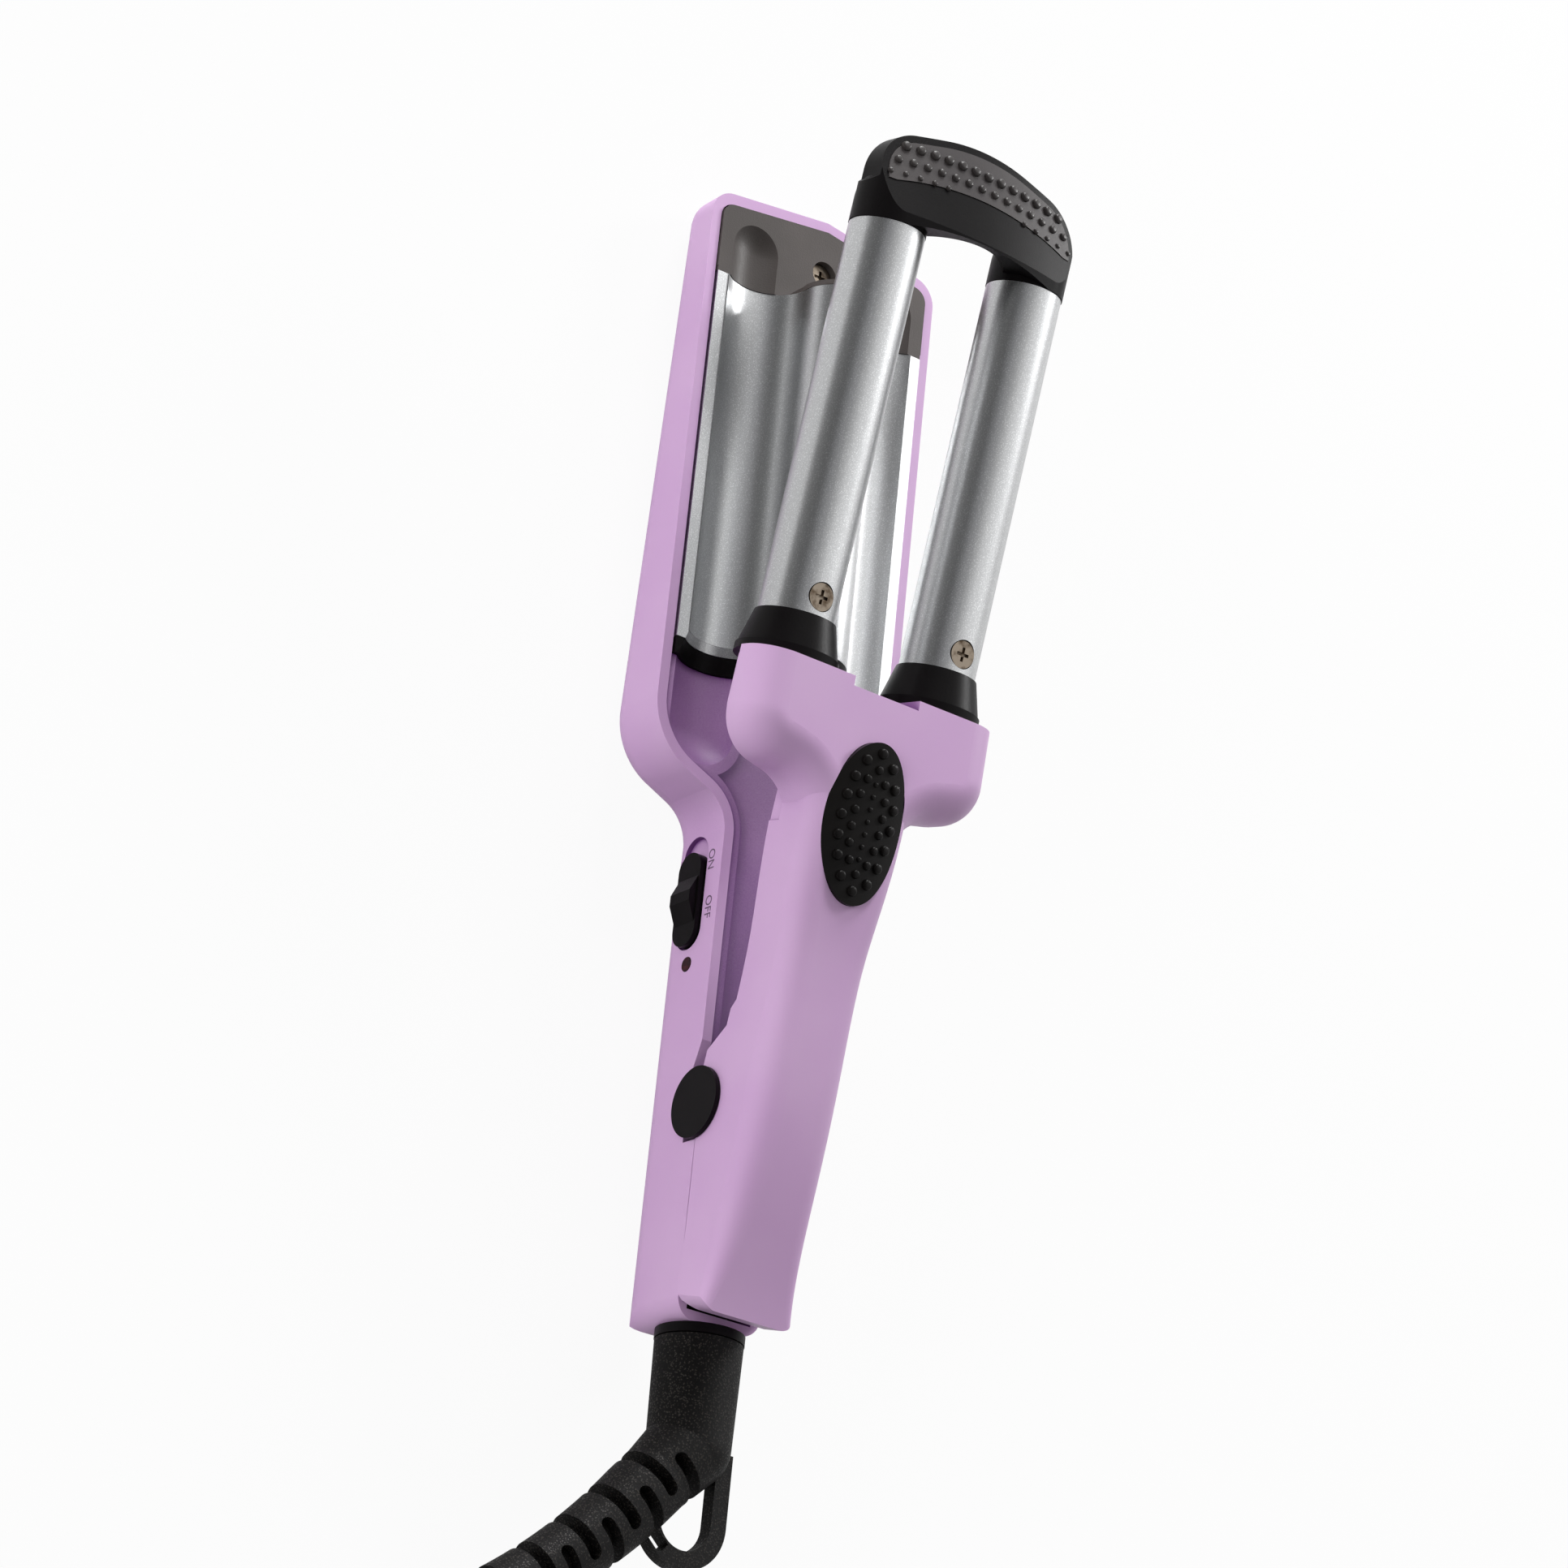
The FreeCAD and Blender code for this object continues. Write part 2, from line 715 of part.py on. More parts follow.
def wave_plate():
    """The aluminium plate: one bent sheet with a crest, two troughs and two flanges."""
    x = ("plate_start_x", "plate_end_x")
    long = "plate_end_x - plate_start_x"
    crest = rod("crest", "x", ("plate_start_x", "0", AXIS_UP), "crest_round", long)
    top = common("crest_top", crest, block("crest_upper", x, ("-12", "12"), (AXIS_UP, "40")))
    beds = trough_tools("bed", "trough_round + plate_sheet", "plate_start_x", long)
    core_half = "crest_round - plate_sheet"
    out = "flange_out - 2 * plate_sheet"
    walls = [
        block("bed_left", x, (core_half, out), ("-12", AXIS_UP)),
        block("bed_right", x, ("-(%s)" % out, "-(%s)" % core_half), ("-12", AXIS_UP)),
    ]
    troughs = common("bed_parts", join("bed_pair", *beds), join("bed_walls", *walls))
    rise = ("flange_top - plate_sheet", "flange_top")
    inner = "flange_out - 3 * plate_sheet"
    flanges = [
        block("flange_left", x, (inner, "flange_out"), rise),
        block("flange_right", x, ("-flange_out", "-(%s)" % inner), rise),
    ]
    tools = trough_tools("trough", "trough_round", "plate_start_x - 20", "plate_end_x")
    at = ("plate_start_x - 20", "0", AXIS_UP)
    tools.append(rod("crest_core", "x", at, core_half, "plate_end_x"))
    channel = ("-(%s)" % core_half, core_half)
    channel_x = ("plate_start_x - 20", "plate_end_x + 20")
    tools.append(block("crest_channel", channel_x, channel, ("-14", AXIS_UP)))
    tools += collar_rooms("plate_room")
    return cut("wave_plate_solid", join("plate_form", top, troughs, *flanges), *tools)


def wave_wall(name, x_low, x_high, top):
    """An upright wall across the pan whose upper edge follows the wave."""
    wall = block(name + "_wall", (x_low, x_high), ("-flange_out", "flange_out"), ("-trim_deep", top))
    at = (x_low, "0", AXIS_UP)
    disc = rod(name + "_disc", "x", at, "crest_round", "(%s) - (%s)" % (x_high, x_low))
    half = "crest_round - 0.1"
    web = block(name + "_web", (x_low, x_high), ("-(%s)" % half, half), ("-1", AXIS_UP))
    return [wall, disc, web]


def plate_base_trim():
    """The black wavy wall at the handle end of the plate."""
    x_low, x_high = "plate_start_x - trim_long", "plate_start_x - trim_gap"
    form = join("trim_form", *wave_wall("trim", x_low, x_high, "flange_top"))
    tools = trough_tools("trim_trough", "trough_round", "plate_start_x - 20", "40")
    return cut("trim_solid", form, *tools, *collar_rooms("trim_room"))


def tip_cap():
    """The black cap at the tip, with a scoop for each end of the bridge."""
    slab = pan_slab("tip_slab", "shell_wall + seat_gap", "cap_low", "cap_top")
    reach = block("tip_reach", ("cap_start_x", "200"), ("-40", "40"), ("-20", "20"))
    x_low = "plate_end_x + trim_gap"
    parts = [common("tip_body", slab, reach)]
    parts += wave_wall("tip", x_low, "cap_start_x + 0.1", "cap_top")
    tools = []
    for side, sign in SIDES.items():
        radius = "stub_round + tip_scoop_gap"
        back = ("plate_end_x - 4", barrel_side(sign), AXIS_UP)
        end_x = "stub_end_x + tip_scoop_reach"
        tools.append(rod("tip_scoop_" + side, "x", back, radius, end_x + " - plate_end_x + 4"))
        tools.append(ball("tip_scoop_end_" + side, (end_x,) + back[1:], radius))
    head_at = ("tip_screw_x", "0", "cap_top - screw_sink")
    tools.append(rod("tip_well", "z", head_at, "screw_head + well_gap", "screw_sink + 2"))
    way_at = ("tip_screw_x", "0", "cap_low - 1")
    tools.append(rod("tip_way", "z", way_at, "screw_shank + screw_gap", "cap_top - cap_low + 1"))
    return cut("tip_cap_solid", join("tip_form", *parts), *tools)


def screw(name, across, aside, seat, long, up=True):
    """A cross-head screw with its head on a seat and its shank down from it, or up."""
    head_z = seat if up else "(%s) - screw_head_high" % seat
    shank_z = "(%s) - (%s)" % (seat, long) if up else seat
    head = rod(name + "_head", "z", (across, aside, head_z), "screw_head", "screw_head_high")
    shank = rod(name + "_shank", "z", (across, aside, shank_z), "screw_shank", long)
    low = "(%s) + screw_head_high - cross_deep" % head_z if up else head_z
    arms = []
    for number, pair in enumerate((("cross_long", "cross_half"), ("cross_half", "cross_long"))):
        x = ("%s - %s" % (across, pair[0]), "%s + %s" % (across, pair[0]))
        y = ("%s - %s" % (aside, pair[1]), "%s + %s" % (aside, pair[1]))
        arms.append(block("%s_arm%d" % (name, number), x, y, (low, "%s + cross_deep" % low)))
    return cut(name + "_solid", join(name + "_blank", head, shank), *arms)


def shell_screws():
    """The screws from the back that hold the cover."""
    screws = []
    for number, (across, aside) in enumerate(SHELL_SCREWS):
        seat = "%s + screw_sink" % under(across)
        long = "post_top + screw_bite - (%s)" % seat
        screws.append(screw("shell_screw%d" % number, across, aside, seat, long, up=False))
    return screws


HEATER_TOP = AXIS_UP + " + sqrt((crest_round - plate_sheet)^2 - heater_half^2) - heater_gap"
HEATER_LOW = HEATER_TOP + " - heater_high"


def plate_heater():
    """The flat heating block that lies under the crest."""
    x = ("heater_x", "heater_x + heater_long")
    return block("heater_block", x, ("-heater_half", "heater_half"), (HEATER_LOW, HEATER_TOP))


def heater_support():
    """The heat-proof bar on two feet that carries the heating block and the cut-out."""
    x = ("heater_x - support_back", "heater_x + heater_long")
    bar = block("support_bar", x, ("-support_half", "support_half"), ("-3", HEATER_LOW))
    feet = []
    for number, across in enumerate(SUPPORT_FEET):
        at = (across, "0", "post_top")
        feet.append(rod("support_foot%d" % number, "z", at, "post_round", "-2 - post_top"))
    return join("support_solid", bar, *feet)


def thermal_fuse():
    """The cut-out that lies on the bar behind the heating block."""
    at = ("heater_x - fuse_long - 0.4", "0", HEATER_LOW + " + fuse_round")
    return rod("fuse_rod", "x", at, "fuse_round", "fuse_long")


def circuit_board():
    """The control board with its parts, on two posts in the handle."""
    top = "board_z + board_sheet - 0.1"
    half = ("-board_half", "board_half")
    parts = [
        block("board_plate", ("-13", "31"), half, ("board_z", "board_z + board_sheet")),
        rod("board_capacitor", "z", ("-7", "2.4", top), "2.4", "4.2"),
        block("board_relay", ("-1", "8"), ("-5", "1"), (top, top + " + 2.9")),
        block("board_chip", ("11", "17"), ("-3.5", "1.5"), (top, top + " + 1.5")),
        rod("board_coil", "z", ("21.5", "-2.6", top), "2.1", "3.4"),
    ]
    return join("board_solid", *parts)


def indicator_led():
    """The small lamp on the board, behind its lens."""
    foot_z = ("board_z + board_sheet", "lens_z + 1.2")
    foot = block("led_foot", ("lens_x - 1.2", "lens_x + 1.2"), ("3.4", "4.6"), foot_z)
    long = "handle_half - shell_wall - 4.6"
    bulb = rod("led_bulb", "y", ("lens_x", "4.2", "lens_z"), "1.1", long)
    return join("led_solid", foot, bulb)


def indicator_lens():
    """The small red window in the side of the handle."""
    at = ("lens_x", "handle_half - shell_wall - 0.3", "lens_z")
    return rod("lens_rod", "y", at, "lens_round - 0.05", "shell_wall + 0.4")


def switch_housing():
    """The box of the slide switch, with the slot that the knob's stem runs in."""
    y = ("handle_half - shell_wall - housing_deep", "handle_half - shell_wall - 0.1")
    box = block("housing_box", ("33", "50"), y, ("knob_z - 3", "knob_z + 3"))
    return cut("housing_solid", box, knob_slot("housing_slot", "3"))


def switch_knob():
    """The sliding knob: a round-ended plate with a wave-shaped ridge, and a stem."""
    floor = "handle_half - recess_deep + 0.12"
    face = "handle_half + knob_proud"
    half = "knob_wide / 2"
    plate = stadium("knob_plate", "knob_low_x", "knob_high_x", "knob_z", half, floor, face)
    middle = "(knob_low_x + knob_high_x) / 2"
    ridge = doc.addObject("PartDesign::Body", "knob_ridge_body")
    doc.recompute()
    side = [
        ("%s - 5.2" % middle, "%s - 0.2" % face),
        ("%s - 1.1" % middle, "handle_half + knob_ridge"),
        ("%s + 0.9" % middle, "handle_half + knob_ridge"),
        ("%s + 4.4" % middle, "%s - 0.2" % face),
    ]
    pad(ridge, "XY_Plane", side, "knob_z - knob_wide / 2 + 0.4", "knob_z + knob_wide / 2 - 0.4")
    stem_y = ("handle_half - shell_wall - 2.6", "%s + 0.2" % floor)
    stem = block("knob_stem", KNOB_STEM, stem_y, ("knob_z - stem_half", "knob_z + stem_half"))
    return join("knob_solid", plate, ridge, stem)


def hinge_cap(name, sign):
    """A black disc over one end of the hinge pin."""
    low = "handle_half + cap_gap" if sign > 0 else "-handle_half - cap_gap - cap_thick"
    return rod(name + "_disc", "y", ("0", low, "pivot_up"), "cap_round", "cap_thick")


def pivot_pin():
    """The steel pin through the lugs and the lever's ears."""
    at = ("0", "-handle_half - cap_gap", "pivot_up")
    return rod("pin_rod", "y", at, "pin_round", "2 * (handle_half + cap_gap)")


def swivel_bush():
    """The black ring in the handle's end wall, which the stem turns in."""
    at = ("handle_end_x - bush_flange", "0", "swivel_z")
    ring = rod("bush_ring", "x", at, "collar_round", "bush_flange")
    sleeve = rod("bush_sleeve", "x", at, "stem_round + bush_wall", "bush_long")
    bore_at = ("handle_end_x - 10", "0", "swivel_z")
    bore = rod("bush_bore", "x", bore_at, "stem_round + 0.15", "20")
    return cut("bush_solid", join("bush_blank", ring, sleeve), bore)


# Tubes: straight runs with tangent arcs, and wound tubes of arc pairs
def through(first, corner, last):
    """The arc that touches two lines at points equally far from their corner."""
    middle = (first + last) * 0.5
    if (corner - middle).Length < 1e-6:
        return Part.LineSegment(first, last).toShape()
    ratio = (last - first).Length / 2 / (corner - first).Length
    crown = middle + (corner - middle) * (ratio / (1 + ratio))
    return Part.Arc(first, crown, last).toShape()


def bent_path(name, points):
    """Edges of straight runs between points, with an arc as large as fits at each."""
    edges, radii, start = [], [], points[0]
    for before, here, after in zip(points, points[1:], points[2:]):
        into, out = here - before, after - here
        turn = into.getAngle(out)
        reach = 0.45 * min(into.Length, out.Length)
        radii.append(reach / math.tan(turn / 2))
        first = here - into.normalize() * reach
        last = here + out.normalize() * reach
        edges.append(Part.LineSegment(start, first).toShape())
        edges.append(through(first, here, last))
        start = last
    edges.append(Part.LineSegment(start, points[-1]).toShape())
    print("%s: arc radii %s mm" % (name, ", ".join("%.1f" % radius for radius in radii)))
    return edges


def wound_path(stations):
    """Edges of two arcs between each pair of stations, each a point and a direction."""
    edges = []
    for (start, out), (end, into) in zip(stations, stations[1:]):
        step = end - start
        both = out + into
        spread = 2 * (1 - out.dot(into))
        along = step.dot(both)
        if spread < 1e-9:
            reach = step.dot(step) / (2 * along)
        else:
            reach = (math.sqrt(along * along + spread * step.dot(step)) - along) / spread
        corner, other = start + out * reach, end - into * reach
        joint = (corner + other) * 0.5
        edges.append(through(start, corner, joint))
        edges.append(through(joint, other, end))
    return edges


def tube(name, edges, radius):
    """A round tube along a path, checked against its section times its length."""
    path = Part.Wire(edges)
    first = path.Edges[0]
    heading = first.tangentAt(first.FirstParameter)
    ring = Part.Wire(Part.makeCircle(radius, path.Edges[0].valueAt(first.FirstParameter), heading))
    solid = path.makePipeShell([ring], True, False)
    expected = math.pi * radius * radius * path.Length
    shares = (name, path.Length, solid.Volume / expected)
    print("%s: %.1f mm long, volume %.4f of section times length" % shares)
    if abs(solid.Volume / expected - 1) > 0.01:
        raise RuntimeError("%s is not the tube that its path asks for" % name)
    piece = doc.addObject("Part::Feature", name + "_tube")
    piece.Shape = solid
    return piece


def spot(across, aside, up):
    """A point from three expressions."""
    return Vec(val(across), val(aside), val(up))


def opening_spring():
    """The torsion spring round the pin, with a leg on the cover and one under the lever."""
    wire, turns = val("spring_wire"), 4
    radius = val("pin_round + spring_gap") + wire
    half = val("lug_half - lug_thick") - wire - 0.5
    whole = math.radians(360 * turns + 180 - val("open_angle"))
    middle = val("pivot_up")
    stations = []
    count = 4 * turns + 2
    for step in range(count + 1):
        angle = whole * step / count
        across = Vec(-math.sin(angle), 0, -math.cos(angle)) * radius
        point = across + Vec(0, half * (2 * step / count - 1), middle)
        heading = Vec(-math.cos(angle) * radius, 2 * half / whole, math.sin(angle) * radius)
        if step in (0, count):
            heading.y = 0
        stations.append((point, heading.normalize()))
    (start, out), (end, into) = stations[0], stations[-1]
    leg = val("spring_leg")
    edges = [Part.LineSegment(start - out * leg, start).toShape()]
    edges += wound_path(stations)
    edges.append(Part.LineSegment(end, end + into * leg).toShape())
    return tube("opening_spring", edges, wire)


def supply_leads():
    """Two wires from the swivel to the board."""
    wires = []
    for side, sign in SIDES.items():
        points = [
            Vec(val("stem_front_x + 0.3"), sign * 1.1, val("swivel_z - 0.9")),
            Vec(-28, sign * 1.3, val("swivel_z - 1")),
            Vec(-24.5, sign * 4.9, -6.6),
            Vec(-19.5, sign * 4.9, -8.2),
            Vec(-14.5, sign * 4.7, -8.25),
        ]
        wires.append(tube("supply_lead_" + side, bent_path("supply_lead_" + side, points), 0.6))
    return wires


def plate_leads():
    """Two wires from the board to the sides of the heating block."""
    end_x = val("heater_x") + 3
    beside = val("heater_half") + 0.75
    wires = []
    for side, low, middle in (("left", -2.4, 3.0), ("right", -4.2, -5.0)):
        sign = SIDES[side]
        points = [
            Vec(29.5, low, -8.3),
            Vec(52, low, -8.4),
            Vec(76, middle, -7.2),
            Vec(92, sign * beside, -6.2),
            Vec(end_x, sign * beside, -4),
            Vec(end_x + 2, sign * beside, 1),
            Vec(end_x + 2, sign * beside, val(HEATER_LOW) + 1),
        ]
        wires.append(tube("plate_lead_" + side, bent_path("plate_lead_" + side, points), 0.6))
    return wires


# Upper jaw, in its own frame with the hinge pin at the origin
def lever_plan(inset, front):
    """The plan of the lever's head, from its root in the shaft to its front edge."""
    half = [
        ("head_root_x + (%s)" % inset, "lever_half - (%s)" % inset),
        ("head_neck_x + (%s)" % inset, "neck_half - (%s)" % inset),
        ("head_back_x + (%s)" % inset, "head_half - (%s)" % inset),
        (front, "head_half - (%s)" % inset),
    ]
    return half + [(across, "-(%s)" % up) for across, up in reversed(half)]


def lever_slab(name, inset, low, high, front):
    """A slab with the plan of the lever's head between two levels."""
    body = doc.addObject("PartDesign::Body", name)
    doc.recompute()
    pad(body, "XY_Plane", lever_plan(inset, front), low, high)
    back = upright("head_back_x + (%s)" % inset, "head_half - (%s)" % inset)
    soften(body, "head_back_round - (%s)" % inset, back)
    neck = upright("head_neck_x + (%s)" % inset, "neck_half - (%s)" % inset)
    soften(body, "head_neck_round + (%s)" % inset, neck)
    return body


# Sections of the shaft: a place along it, its half width, top and top rounding
SHAFT = [
    ("lever_end_x", "lever_tail_half", "lever_tail_top", "lever_tail_edge"),
    ("lever_tail_x", "lever_half + 0.1", "lever_back_top", "lever_round"),
    ("lever_grip_x", "lever_half", "lever_back_top", "lever_round + 0.5"),
    ("lever_flare_x", "lever_half + 0.2", "lever_top", "lever_round"),
    ("pad_x - 3", "neck_half + 0.2", "lever_top", "lever_round"),
    ("head_slope_x", "neck_half + 0.5", "lever_top - 0.9", "lever_round"),
    ("ridge_front_x", "neck_half + 1.4", "head_top - 0.4", "lever_round - 0.2"),
]


def shaft_block(name, inset):
    """The lever's shaft and ridge, from the tail into the head, through its sections."""
    low = -8.0
    draw = val(inset)
    sections = []
    for number, (place_x, wide, high, edge) in enumerate(SHAFT):
        x, half, top = val(place_x), val(wide) - draw, val(high) - draw
        if number == 0:
            x += draw
        if number == len(SHAFT) - 1:
            x -= draw
        bend = val(edge) - 0.6 * min(draw, val(edge))
        slant = bend * (1 - math.sqrt(0.5))
        right = [Vec(x, -half, top - bend), Vec(x, -half + slant, top - slant), Vec(x, -half + bend, top)]
        left = [Vec(x, half - bend, top), Vec(x, half - slant, top - slant), Vec(x, half, top - bend)]
        feet = [Vec(x, half, low), Vec(x, -half, low)]
        outline = [
            Part.LineSegment(feet[1], right[0]),
            Part.Arc(*right),
            Part.LineSegment(right[2], left[0]),
            Part.Arc(*left),
            Part.LineSegment(left[2], feet[0]),
            Part.LineSegment(*feet),
        ]
        sections.append(Part.Wire([part.toShape() for part in outline]))
    piece = doc.addObject("Part::Feature", name)
    piece.Shape = Part.makeLoft(sections, True, False)
    return piece


def lever_form(name, inset, rise):
    """The lever's outer form, or its hollow with an inset; the head's top rises to the shaft."""
    front = "head_front_x - 2 * (%s)" % inset
    root = "head_root_x + (%s)" % inset
    head = lever_slab(name + "_head", inset, "-8", "lever_top + 4", front)

    def level(across):
        return "head_top - (%s) + (%s) * (head_front_x - (%s))" % (inset, rise, across)

    before, after = "head_root_x - 4", "head_front_x + 4"
    top = [(before, level(before)), (after, level(after)), (after, "40"), (before, "40")]
    pocket(head, "XZ_Plane", top, "40")

    def on_top(edge):
        ends = [end.Point for end in edge.Vertexes]
        high = all(near(end.z, val(level("%.6f" % end.x))) for end in ends)
        across = any(all(near(end.x, val(x)) for end in ends) for x in (front, root))
        return high and not across

    soften(head, "head_round - (%s) * 0.6" % inset, on_top)
    return join(name + "_form", head, shaft_block(name + "_shaft", inset))


def tail_line(across):
    """The level of the tail's lower edge, which lies along the rim while the jaw is open."""
    lift = "tail_rim + stop_gap - pivot_up - (%s) * sin(open_angle)" % across
    return "(%s) / cos(open_angle)" % lift


def lever_shell():
    """The lever's shell: a T-shaped head, a shaft with a ridge, and the hinge ears."""
    outer = lever_form("lever_outer", "0", "head_rise")
    inner = lever_form("lever_inner", "lever_wall", "0")
    below = doc.addObject("PartDesign::Body", "lever_below")
    doc.recompute()
    edge = [
        ("lever_end_x - 6", tail_line("lever_end_x") + " + lever_tail_round"),
        ("lever_end_x", tail_line("lever_end_x") + " + lever_tail_round"),
        ("lever_end_x + 0.3 * lever_tail_round", tail_line("lever_end_x") + " + 0.3 * lever_tail_round"),
        ("lever_end_x + lever_tail_round", tail_line("lever_end_x + lever_tail_round")),
        ("-cap_round", tail_line("-cap_round")),
        ("-ear_round + 0.6", "-0.4"),
        ("ear_round", "-1.2"),
        ("9.5", "-1.2"),
        ("14", "lever_low - 1.1"),
        ("17", "lever_low - 1.1"),
        ("18.7", "lever_low"),
        ("head_front_x + 6", "lever_low"),
        ("head_front_x + 6", "-20"),
        ("lever_end_x - 6", "-20"),
    ]
    pad(below, "XZ_Plane", edge, "-34", "34")
    tools = [inner, below]
    x = ("head_neck_x - 6", "head_front_x + 4")
    tools.append(block("under_left", x, ("neck_half", "head_half + 4"), ("-20", "head_seam")))
    tools.append(block("under_right", x, ("-head_half - 4", "-neck_half"), ("-20", "head_seam")))
    front = ("head_front_x - 2 * lever_wall", "head_front_x + 4")
    wide = ("-neck_half - 0.5", "neck_half + 0.5")
    tools.append(block("under_front", front, wide, ("-20", "head_seam")))
    step = ("head_front_x - web_setback", "head_front_x + 4")
    tools.append(block("web_gap", step, ("-web_half", "web_half"), ("-20", "40")))
    for side, sign in SIDES.items():
        at = ("head_front_x - 8", barrel_side(sign), "barrel_up")
        tools.append(rod("mouth_" + side, "x", at, "shank_round + 0.1", "12"))
    parts = [cut("lever_body", outer, *tools)]
    ceiling = "lever_top - lever_wall + 0.3"
    for side, low in (("left", "lever_half - lever_wall"), ("right", "-lever_half")):
        parts.append(rod("ear_" + side, "y", ("0", low, "0"), "ear_round", "lever_wall"))
    pilots = [rod("ear_bore", "y", ("0", "-20", "0"), "pin_round + pin_gap", "40")]
    for number, across in enumerate(LEVER_SCREWS):
        at = (across, "0", "lever_post_low")
        parts.append(rod("lever_post%d" % number, "z", at, "lever_post", "%s - lever_post_low" % ceiling))
        low_at = (across, "0", "lever_post_low - 1")
        bite = "screw_bite + 1.6"
        pilots.append(rod("lever_pilot%d" % number, "z", low_at, "screw_shank + screw_gap", bite))
    pilots.append(oval("pad_seat", "0.05", "lever_top - pad_deep", "lever_top + 6"))
    pilots += tail_corners("lever_corner_cut", "lever_end_x", "lever_tail_half", "lever_tail_corner")
    return cut("lever_shell_solid", join("lever_with_ears", *parts), *pilots)


def oval(name, gap, low, high):
    """The oval plan of the thumb pad, grown by a gap, between two levels."""
    outline = doc.addObject("Part::Ellipse", name + "_outline")
    bind(outline, MajorRadius="pad_half_long + (%s)" % gap, MinorRadius="pad_half_wide + (%s)" % gap)
    place(outline, "z", ("pad_x", "0", low))
    solid = doc.addObject("Part::Extrusion", name)
    solid.Base = outline
    solid.DirMode = "Custom"
    solid.Dir = Vec(0, 0, 1)
    solid.Solid = True
    bind(solid, LengthFwd="(%s) - (%s)" % (high, low))
    return solid


def thumb_pad():
    """The rubber pad, crowned across like the lever's ridge."""
    blank = oval("pad_blank", "0", "lever_top - pad_deep + 0.02", "lever_top + pad_proud")
    at = ("pad_x - 40", "0", "lever_top + pad_proud - pad_crown_round")
    return common("pad_solid", blank, rod("pad_crown", "x", at, "pad_crown_round", "80"))


def lever_cover():
    """The lever's underside: a strip between the shell's walls and two half-round lobes."""
    inset = "lever_wall + 0.15"
    front = "head_front_x - web_setback"
    slim = "neck_half - lever_wall - 0.15"
    strip_z = ("lever_low + 0.3", "lever_low + 0.3 + lever_strip")
    strip_x = ("18", "head_neck_x + 4")
    reach = block("strip_reach", strip_x, ("-(%s)" % slim, slim), strip_z)
    strip = common("cover_strip", shaft_block("strip_shaft", inset), reach)
    plate = common(
        "cover_plate",
        lever_slab("plate_slab", "lever_lip", "head_seam - cover_plate_thick", "head_seam - 0.1", front),
        block("plate_reach", ("head_neck_x + 1.4", "120"), ("-40", "40"), ("-20", "20")),
    )
    neck_x = ("head_neck_x + 1.4", "head_neck_x + 4")
    neck = block("cover_neck", neck_x, ("-(%s)" % slim, slim), ("lever_low + 0.3", "head_seam - 0.2"))
    blanks, hollow = [], []
    for side, sign in SIDES.items():
        at = ("lobe_back_x", barrel_side(sign), "barrel_up")
        long = "head_front_x - 0.2 - lobe_back_x"
        blanks.append(rod("lobe_" + side, "x", at, "lobe_round", long))
        blanks.append(ball("lobe_end_" + side, at, "lobe_round"))
        inner = "lobe_round - lever_wall"
        hollow.append(rod("lobe_in_" + side, "x", at, inner, long + " - lever_wall"))
        hollow.append(ball("lobe_in_end_" + side, at, inner))
        hollow.append(rod("lobe_mouth_" + side, "x", at, "shank_round + 0.1", "20"))
    lower = block("lobe_lower", ("50", "90"), ("-40", "40"), ("-20", "head_seam - 0.1"))
    lobes = common("lobes", join("lobe_blanks", *blanks), lower)
    parts = [strip, plate, neck, lobes]
    for number, across in enumerate(LEVER_SCREWS):
        at = (across, "0", strip_z[0])
        parts.append(rod("strip_boss%d" % number, "z", at, "post_round", "lever_post_low - (%s)" % at[2]))
        hollow.append(rod("strip_way%d" % number, "z", at, "screw_shank + screw_gap", "20"))
        well_at = (across, "0", "-4")
        well_long = "lever_well_top + 4"
        hollow.append(rod("strip_well%d" % number, "z", well_at, "screw_head + well_gap", well_long))
    return cut("lever_cover_solid", join("cover_form", *parts), *hollow)


def lever_screws():
    """The screws that hold the lever's cover."""
    screws = []
    for number, across in enumerate(LEVER_SCREWS):
        long = "lever_post_low + screw_bite - lever_well_top"
        screws.append(screw("lever_screw%d" % number, across, "0", "lever_well_top", long, up=False))
    return screws


SPIGOT = "barrel_round - barrel_wall - spigot_gap"
HEATER_X = "barrel_start_x + spigot_long + heater_gap"
PLUG_X = HEATER_X + " + barrel_heater_long + heater_gap"


def collar(name, sign):
    """A black cone with a shank in the head, a spigot in the barrel and a lip round it."""

    def at(across):
        return (across, barrel_side(sign), "barrel_up")

    band_end = "cone_foot_x + cone_band"
    cone_top = "barrel_round + cone_lip"
    cone_long = "cone_top_x - (%s)" % band_end
    spigot_long = "barrel_start_x + spigot_long - cone_foot_x"
    blank = join(
        name + "_blank",
        rod(name + "_band", "x", at("cone_foot_x"), "cone_foot_round", "cone_band"),
        cone(name + "_cone", "x", at(band_end), "cone_foot_round - 0.25", cone_top, cone_long),
        rod(name + "_shank", "x", at("shank_back_x"), "shank_round", "cone_foot_x - shank_back_x"),
        rod(name + "_spigot", "x", at("cone_foot_x"), SPIGOT, spigot_long),
    )
    ring = cut(
        name + "_ring",
        rod(name + "_ring_out", "x", at("barrel_start_x"), "barrel_round + 0.05", "ring_reach"),
        rod(name + "_ring_in", "x", at("barrel_start_x - 1"), SPIGOT, "ring_reach + 2"),
    )
    bore = rod(name + "_bore", "x", at("shank_back_x - 1"), "wire_bore", "40")
    well_at = ("barrel_screw_x", barrel_side(sign), "barrel_up + barrel_screw_seat")
    well = rod(name + "_well", "z", well_at, "screw_head + 0.15", "6")
    pilot = rod(name + "_pilot", "z", at("barrel_screw_x"), "screw_shank + screw_gap", "8")
    return cut(name + "_solid", blank, bore, ring, well, pilot)


